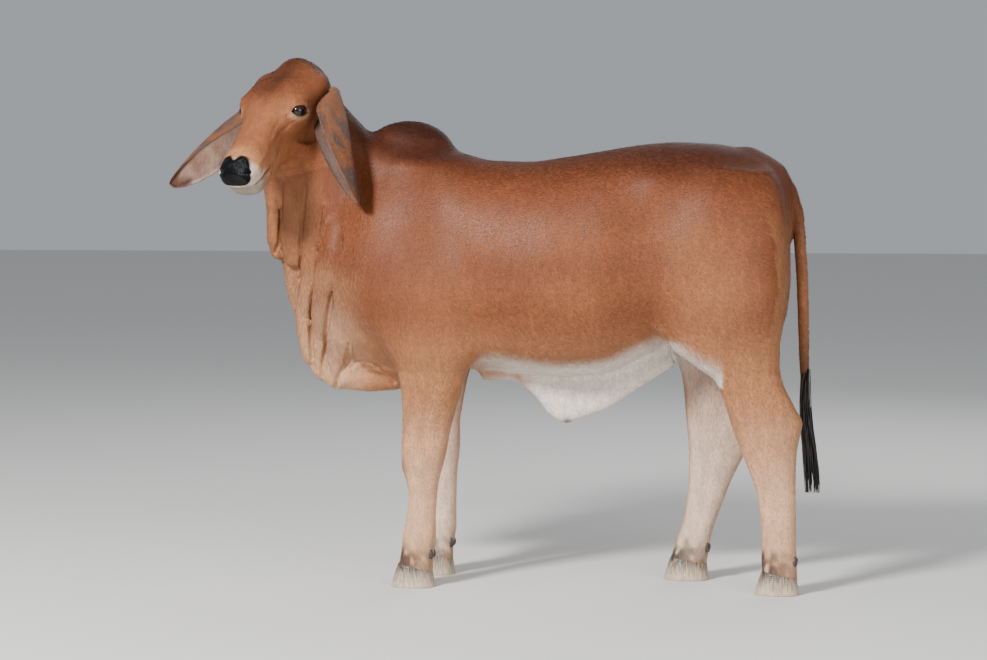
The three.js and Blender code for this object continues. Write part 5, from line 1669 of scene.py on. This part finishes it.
class Coat:
    """Tufts of hair scattered over a surface, each a flat blade that lies along the coat's flow."""

    def __init__(self, seed: int = 4) -> None:
        """Starts the random draws."""
        self.rng = np.random.default_rng(seed)

    def grow(
        self,
        region: Region,
        surface: Surface,
        weights: Array,
        flow: Callable[[Array], Array],
        length: Callable[[Array], Array],
        uv: Array,
        colours: Array,
        finish: bpy.types.Material,
    ) -> bpy.types.Object:
        """Grows one part of the coat.

        Args:
            region: the sizes of its tufts.
            surface: what it grows on.
            weights: how thickly each face is covered.
            flow: the way the hair lies at each place.
            length: a factor for the hair's length at each place.
            uv: the surface's UV at each face's corners.
            colours: the surface's colour at each point.
            finish: the hair's material.

        Returns:
            The object.
        """
        rng = self.rng
        corners = surface.points[surface.faces]
        cross = np.cross(corners[:, 1] - corners[:, 0], corners[:, 2] - corners[:, 0])
        area = np.linalg.norm(cross, axis=1) * weights
        face = rng.choice(len(area), region.count, p=area / area.sum())
        a, b = rng.random((2, region.count))
        over = a + b > 1
        a[over], b[over] = 1 - a[over], 1 - b[over]
        share = np.stack([1 - a - b, a, b], 1)
        root = np.einsum("ij,ijk->ik", share, corners[face])
        normals = surface.normals()[surface.faces[face]]
        normal = np.einsum("ij,ijk->ik", share, normals)
        normal /= np.linalg.norm(normal, axis=1)[:, None]
        lie = flow(root) + rng.normal(scale=0.16, size=root.shape)
        lie -= normal * np.einsum("ij,ij->i", lie, normal)[:, None]
        lie /= np.maximum(np.linalg.norm(lie, axis=1), 1e-6)[:, None]
        side = np.cross(normal, lie)
        size = region.length * length(root) * rng.uniform(0.7, 1.25, region.count)
        half = region.width * rng.uniform(0.6, 1.2, region.count) / 2
        half = np.minimum(half, size * 0.2)
        lift = region.lift * rng.uniform(0.5, 1.4, region.count)
        base = root - normal * 0.8
        middle = base + lie * (size * 0.55)[:, None] + normal * (size * lift * 0.75 + 0.8)[:, None]
        tip = base + lie * size[:, None] + normal * (size * lift + 0.6)[:, None]
        sway = side * half[:, None]
        points = np.stack([base - sway, base + sway, middle + sway * 0.8, middle - sway * 0.8, tip], 1)
        start = np.arange(region.count)[:, None] * 5
        faces = np.concatenate([start + [0, 2, 1], start + [0, 3, 2], start + [3, 4, 2]], 1).reshape(-1, 3)
        piece = mesh_object(region.name, place(points.reshape(-1, 3)), faces)
        tone = rng.uniform(0.74, 1.24, (region.count, 1))
        colour = np.einsum("ij,ijk->ik", share, colours[surface.faces[face]]) * tone
        alpha = np.ones((region.count * 5, 1))
        paint(piece, "coat", np.concatenate([np.repeat(colour, 5, 0), alpha], 1))
        piece.data.normals_split_custom_set_from_vertices(np.repeat(normal, 5, 0))
        at = np.einsum("ij,ijk->ik", share, uv[face])
        patch = np.array([[-1, -1], [1, -1], [1, 0.3], [-1, 0.3], [0, 1]]) * 0.0015
        corner_uv = (at[:, None, :] + patch).reshape(-1, 2)
        layer = piece.data.uv_layers.new(name="OFBake")
        layer.data.foreach_set("uv", corner_uv[faces.ravel()].astype(np.float32).ravel())
        piece.data.materials.append(finish)
        return piece


@dataclass(frozen=True)
class HoofSizes:
    """A claw of a cloven hoof in millimetres."""

    width: float = 44.0
    height: float = 58.0
    toe_lean: float = 17.0
    split: float = 5.0
    coronet_front: float = 64.0
    coronet_back: float = 44.0


class Foot:
    """The two claws and two dewclaws of one foot."""

    def __init__(
        self, leg: str, side: Side, reach: tuple[float, float], centre: float, fetlock: Array
    ) -> None:
        """Finds where the foot stands."""
        self.leg = leg
        self.side = side
        self.front, self.back = reach
        self.centre = side.value * centre
        self.fetlock = (fetlock[0] - 9, side.value * fetlock[1])
        self.sizes = HoofSizes()

    def claw(self, way: int) -> Surface:
        """One claw, flat below, its toe leaning forward.

        Args:
            way: the side of the foot, -1 or 1.

        Returns:
            The surface.
        """
        s = self.sizes
        rings = []
        around = 40
        levels = [0.0, 0.02, 0.08, 0.2, 0.4, 0.6, 0.8, 0.94, 1.0]
        inner = self.centre + way * s.split / 2
        for level in levels:
            drop = 1.5 * (level < 0.01)
            toe = self.front + 3 * level - s.toe_lean * (1 - level) ** 0.8 * 1.1 + drop
            heel = self.back + 4 - 7 * level - drop
            width = s.width * (1 - 0.13 * level) - drop
            ring = []
            for i in range(around):
                a = i / around * 2 * math.pi
                x = (toe + heel) / 2 - math.cos(a) * (heel - toe) / 2
                out = width * math.sin(a) ** 0.75 if math.sin(a) > 0 else 1.5 * math.sin(a)
                share = (x - self.front) / (self.back - self.front)
                top = s.coronet_front + (s.coronet_back - s.coronet_front) * share
                ring.append([x, inner + way * out, level * (top + 2)])
            rings.append(ring)
        return lofted(rings)

    def dewclaw(self, way: int) -> Surface:
        """A small blunt cone of horn behind the fetlock."""
        x, y = self.fetlock
        rings = []
        for share, radius in ((0.1, 4.0), (0.3, 7.5), (0.6, 9.5), (0.85, 7.5), (0.97, 4.0)):
            ring = []
            for i in range(16):
                a = i / 16 * 2 * math.pi
                ahead, aside = radius * math.cos(a), radius * math.sin(a)
                ring.append(
                    [x - 3 + 6 * share + ahead, y + way * 17 + aside, 111 - 34 * share + 0.25 * ahead]
                )
            rings.append(ring)
        return lofted(rings)

    def build(self, finish: bpy.types.Material) -> None:
        """Makes the foot's four pieces of horn."""
        for way in (-1, 1):
            word = "outer" if way * self.side.value > 0 else "inner"
            for kind, surface in (("claw", self.claw(way)), ("dewclaw", self.dewclaw(way))):
                node = f"{self.leg}_{kind}_{word}"
                piece = mesh_object(f"horn_{node}", place(surface.points), surface.faces)
                piece.data.materials.append(finish)
                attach(piece, "root")
                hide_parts(node)


@dataclass(frozen=True)
class SwitchSizes:
    """The switch of long hair at the tail's end, in millimetres."""

    locks: int = 150
    length: float = 205.0
    root_top: float = 600.0
    root_bottom: float = 420.0
    spread: float = 15.0
    drift: float = 22.0
    width: float = 7.0


class TailSwitch:
    """Long black hair in thin overlapping locks."""

    def __init__(self, sizes: SwitchSizes = SwitchSizes(), seed: int = 9) -> None:
        """Starts the random draws."""
        self.sizes = sizes
        self.rng = np.random.default_rng(seed)

    def centre(self, z: float) -> float:
        """Where the switch hangs at a height."""
        return 855 + self.sizes.drift * float(smoothstep(np.array(520 - z), 0, 260))

    def lock(self, share: float) -> tuple[Array, Array]:
        """One flat tapered lock.

        Args:
            share: how far along it is, 0 to 1.

        Returns:
            Its points and faces.
        """
        s, rng = self.sizes, self.rng
        turn = rng.uniform(0, 2 * math.pi)
        away = np.array([math.cos(turn), math.sin(turn), 0])
        aside = np.array([-math.sin(turn), math.cos(turn), 0])
        root = s.root_top + (s.root_bottom - s.root_top) * share
        length = min(s.length * rng.uniform(0.75, 1.1), root - 262)
        sway = rng.normal(scale=5)
        start = rng.uniform(4, 13)
        rows = []
        steps = 8
        for i in range(steps):
            k = i / (steps - 1)
            z = root - length * k
            swell = math.sin(math.pi * min(1, 0.62 * k + 0.1)) * rng.uniform(0.55, 0.62)
            out = start + s.spread * swell * (0.6 + 0.4 * share)
            middle = np.array([self.centre(z), 0, z]) + away * out + aside * sway * k
            half = s.width / 2 * (1 - k**1.6) + 0.25
            bow = away * 0.9
            rows.append([middle - aside * half, middle + bow, middle + aside * half, middle - bow])
        surface = lofted(rows)
        return surface.points, surface.faces

    def build(self, finish: bpy.types.Material) -> bpy.types.Object:
        """Makes all the locks as one piece."""
        points, faces, count = [], [], 0
        for i in range(self.sizes.locks):
            p, f = self.lock(i / (self.sizes.locks - 1))
            points.append(p)
            faces.append(f + count)
            count += len(p)
        piece = mesh_object("tail_switch_hair", place(np.concatenate(points)), np.concatenate(faces))
        piece.data.materials.append(finish)
        return piece


@dataclass
class Studio:
    """Camera, lights and floor."""

    distance: float = 7.0
    azimuth: float = math.radians(8)
    height: float = 1.125
    pitch: float = math.atan((330 - 175) / 2541)
    focal: float = 2541 / 987 * 36

    def camera(self) -> None:
        """Stands where the photograph was taken from."""
        data = bpy.data.cameras.new("camera")
        data.lens = self.focal
        data.sensor_width = 36
        camera = bpy.data.objects.new("camera", data)
        bpy.context.scene.collection.objects.link(camera)
        shift = SHIFT / 1000
        camera.location = (
            self.distance * math.sin(self.azimuth) + shift[0],
            -self.distance * math.cos(self.azimuth) + shift[1],
            self.height,
        )
        camera.rotation_euler = (math.pi / 2 - self.pitch, 0, self.azimuth)
        bpy.context.scene.camera = camera

    @staticmethod
    def light(name: str, place_at: Vector, target: Vector, size: float, power: float) -> None:
        """A square soft light."""
        data = bpy.data.lights.new(name, "AREA")
        data.size = size
        data.energy = power
        lamp = bpy.data.objects.new(name, data)
        bpy.context.scene.collection.objects.link(lamp)
        lamp.location = place_at
        lamp.rotation_euler = (target - place_at).to_track_quat("-Z", "Y").to_euler()

    def build(self) -> None:
        """Sets up camera, lights, world and floor."""
        self.camera()
        middle = Vector((0, 0, 0.75))
        self.light("key", Vector((-2.7, -5.0, 4.2)), middle, 1.1, 800)
        self.light("fill", Vector((3.6, -4.6, 2.2)), middle, 3.5, 150)
        self.light("rim", Vector((1.5, 4.2, 3.6)), middle, 3.0, 70)
        world = bpy.data.worlds.new("studio")
        bpy.context.scene.world = world
        world.use_nodes = True
        world.node_tree.nodes["Background"].inputs[0].default_value = (0.9, 0.94, 1.0, 1)
        world.node_tree.nodes["Background"].inputs[1].default_value = 0.42
        bpy.ops.mesh.primitive_plane_add(size=60, location=(0, 0, 0))
        floor = bpy.context.object
        floor.name = "floor"
        floor.data.materials.append(StudioFinish().make())


class Heifer:
    """The whole animal."""

    EARS = {
        Side.LEFT: EarSizes((-414, -92, 1350), (-376, -188, 1300), (-330, -226, 1052), (0.88, 0.34, 0.1)),
        Side.RIGHT: EarSizes((-600, -8, 1362), (-728, -20, 1304), (-900, -40, 1100), (-0.48, 0.62, 0.62)),
    }
    # Heights of the hooves' upper edge and of the fetlocks.
    CORONET = 55.0
    FETLOCK = 98.0
    FLESH = ["torso", "neck", "dewlap", "head", "navel_flap", "tail"]

    def __init__(self) -> None:
        """Prepares the head, body, markings and coat."""
        self.head = Head()
        self.body = Body(self.head)
        self.markings = Markings(self.head)
        self.coat = Coat()

    def flow(self, p: Array) -> Array:
        """The way the hair lies: back and down the body, down the legs, along the face."""
        q = self.head.pose.to_head(p)
        lie = np.zeros_like(p)
        neck = smoothstep(-p[:, 0], 180, 420)
        leg = 1 - smoothstep(p[:, 2], 560, 720)
        lie[:, 0] = 0.75 * (1 - neck) * (1 - leg) + 0.25
        lie[:, 2] = -0.65 - 0.5 * leg - 0.4 * neck
        face = (q[:, 0] > 30) & (np.abs(q[:, 1]) < 130) & (np.abs(q[:, 2]) < 130) & (p[:, 2] > 1050)
        lie[face] = self.head.pose.axes()[0]
        return lie

    def length(self, p: Array) -> Array:
        """How long the hair is at each place: shortest on the face, longest on the poll."""
        q = self.head.pose.to_head(p)
        t = q[:, 0]
        face = smoothstep(t, 60, 200) * (np.abs(q[:, 1]) < 130) * (p[:, 2] > 1050)
        low = 1 - smoothstep(p[:, 2], 200, 620)
        poll = bell(np.linalg.norm(q - [10, 0, 60], axis=1), 0, 60)
        return 1.0 - 0.5 * face - 0.25 * low + 0.5 * poll

    def build(self) -> None:
        """Makes every piece and ties it to the frame."""
        coat_finish = CoatFinish().make()
        tuft_finish = TuftFinish().make()
        horn = HornFinish().make()
        skin = Skin(self.body, self.head)
        surface = skin.surface
        normals = surface.normals()
        colours = self.markings.colour(surface.points, normals)
        wet = self.markings.wet(surface.points)
        piece = mesh_object("skin", place(surface.points), surface.faces)
        paint(piece, "coat", np.concatenate([colours, 1 - wet[:, None]], 1))
        ripple = piece.data.attributes.new("ripple", "FLOAT", "POINT")
        ripple.data.foreach_set("value", self.markings.rippled(surface.points).astype(np.float32))
        piece.data.materials.append(coat_finish)
        unwrap(piece)
        legs = [f"{leg}_{part}" for leg in self.body.legs for part in ("upper", "lower")]
        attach(piece, "root")
        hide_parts(*self.FLESH, *legs)
        log.info("skin built")
        self.eyes()
        log.info("eyes built")
        self.feet(horn)
        log.info("feet built")
        switch = TailSwitch().build(SwitchFinish().make())
        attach(switch, "root")
        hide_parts("tail_switch")
        log.info("switch built")
        ears = self.ears(coat_finish)
        log.info("ears built")
        self.cover(piece, surface, colours, wet, ears, tuft_finish)

    def eyes(self) -> None:
        """Sets an eyeball behind each pair of lids."""
        axes = self.head.pose.axes()
        for side, node in ((Side.LEFT, "eye_left"), (Side.RIGHT, "eye_right")):
            centre, frame = self.head.eye_frame(side)
            at = place(self.head.pose.to_body(centre[None]))[0]
            slit, across, out = (Vector(row @ axes) for row in frame)
            radius = self.head.eye.radius / 1000
            bpy.ops.object.select_all(action="DESELECT")
            bpy.ops.mesh.primitive_uv_sphere_add(segments=48, ring_count=32, radius=radius - 0.0004)
            ball = bpy.context.object
            ball.name = f"{node}_ball"
            ball.data.transform(Matrix.Translation(Vector(at)))
            ball.data.polygons.foreach_set("use_smooth", np.ones(len(ball.data.polygons), bool))
            ball.data.materials.append(EyeFinish().make(out, slit, across, Vector(at), radius))
            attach(ball, "root")
            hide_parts(node)

    def feet(self, horn: bpy.types.Material) -> None:
        """Builds the four feet where the legs end."""
        rows = {
            "foreleg_left": (self.body.FORELEG, Side.LEFT, 0.0),
            "foreleg_right": (self.body.FORELEG, Side.RIGHT, self.body.sizes.right_foot_back),
            "hindleg_left": (self.body.LEFT_HIND, Side.LEFT, 0.0),
            "hindleg_right": (self.body.RIGHT_HIND, Side.RIGHT, 0.0),
        }
        for leg, (table, side, ahead) in rows.items():
            lookup = Table(table)
            front, back, centre, _ = lookup(np.array([self.CORONET]))[0]
            fetlock = lookup(np.array([self.FETLOCK]))[0, 1:3] + [ahead, 0.0]
            Foot(leg, side, (front + ahead, back + ahead), centre, fetlock).build(horn)

    def ears(self, finish: bpy.types.Material) -> list[tuple[Ear, bpy.types.Object]]:
        """Hangs both ears."""
        made = []
        for side, node in ((Side.LEFT, "ear_left"), (Side.RIGHT, "ear_right")):
            ear = Ear(f"{node}_leaf", self.EARS[side], side)
            piece = ear.build(finish)
            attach(piece, "root")
            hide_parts(node)
            made.append((ear, piece))
        return made

    def cover(
        self,
        skin: bpy.types.Object,
        surface: Surface,
        colours: Array,
        wet: Array,
        ears: list[tuple[Ear, bpy.types.Object]],
        finish: bpy.types.Material,
    ) -> None:
        """Grows the coat over the skin and ears.

        Args:
            skin: the skin's object.
            surface: the surface.
            colours: one colour for each point.
            wet: how wet each point is.
            ears: both ears with their objects.
            finish: the material.
        """
        uv = self.corner_uv(skin)
        middle = surface.face_centres()
        t, u, v = self.head.pose.to_head(middle).T
        on_head = (t > -20) & (np.abs(u) < 125) & (np.abs(v) < 130) & (middle[:, 2] > 1080)
        bare = wet[surface.faces].mean(axis=1) > 0.3
        for side in BOTH:
            centre, _ = self.head.eye_frame(side)
            bare |= np.linalg.norm(np.stack([t, u, v], 1) - centre, axis=1) < 27
        bare |= middle[:, 2] < 50
        legs = middle[:, 2] < 600
        front = middle[:, 0] < -60
        left = middle[:, 1] < 0
        plans = [
            (Region("coat_barrel_left", 62000, 11, 1.7, 0.16), ~on_head & ~legs & ~front & left),
            (Region("coat_barrel_right", 50000, 11, 1.9, 0.16), ~on_head & ~legs & ~front & ~left),
            (Region("coat_front_left", 62000, 10, 1.5, 0.16), ~on_head & ~legs & front & left),
            (Region("coat_front_right", 45000, 10, 1.8, 0.16), ~on_head & ~legs & front & ~left),
            (Region("coat_legs", 62000, 9, 1.3, 0.14), legs),
            (Region("coat_head", 50000, 8, 0.9, 0.14), on_head),
        ]
        for region, where in plans:
            weights = (where & ~bare).astype(float)
            tufts = self.coat.grow(region, surface, weights, self.flow, self.length, uv, colours, finish)
            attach(tufts, "root")
            log.info("%s: %d tufts", region.name, region.count)
        for ear, piece in ears:
            outer = ~ear.inside[ear.surface.faces].all(axis=1)
            weights = np.where(outer, 1.0, 0.25)
            region = Region(piece.name.replace("leaf", "coat"), 9000, 8, 0.9, 0.12)
            uv = self.corner_uv(piece)
            tufts = self.coat.grow(
                region, ear.surface, weights, ear.flow, ear.length, uv, ear.colours(), finish
            )
            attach(tufts, "root")

    @staticmethod
    def corner_uv(piece: bpy.types.Object) -> Array:
        """The UV at each corner of each face."""
        layer = piece.data.uv_layers["OFBake"]
        flat = np.empty(len(layer.data) * 2, np.float32)
        layer.data.foreach_get("uv", flat)
        return flat.reshape(-1, 3, 2).astype(float)


def main() -> None:
    """Builds the scene in order."""
    logging.basicConfig(level=logging.INFO, format="%(asctime)s %(message)s")
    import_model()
    log.info("frame loaded")
    Heifer().build()
    Studio().build()


if __name__ == "__main__":
    main()
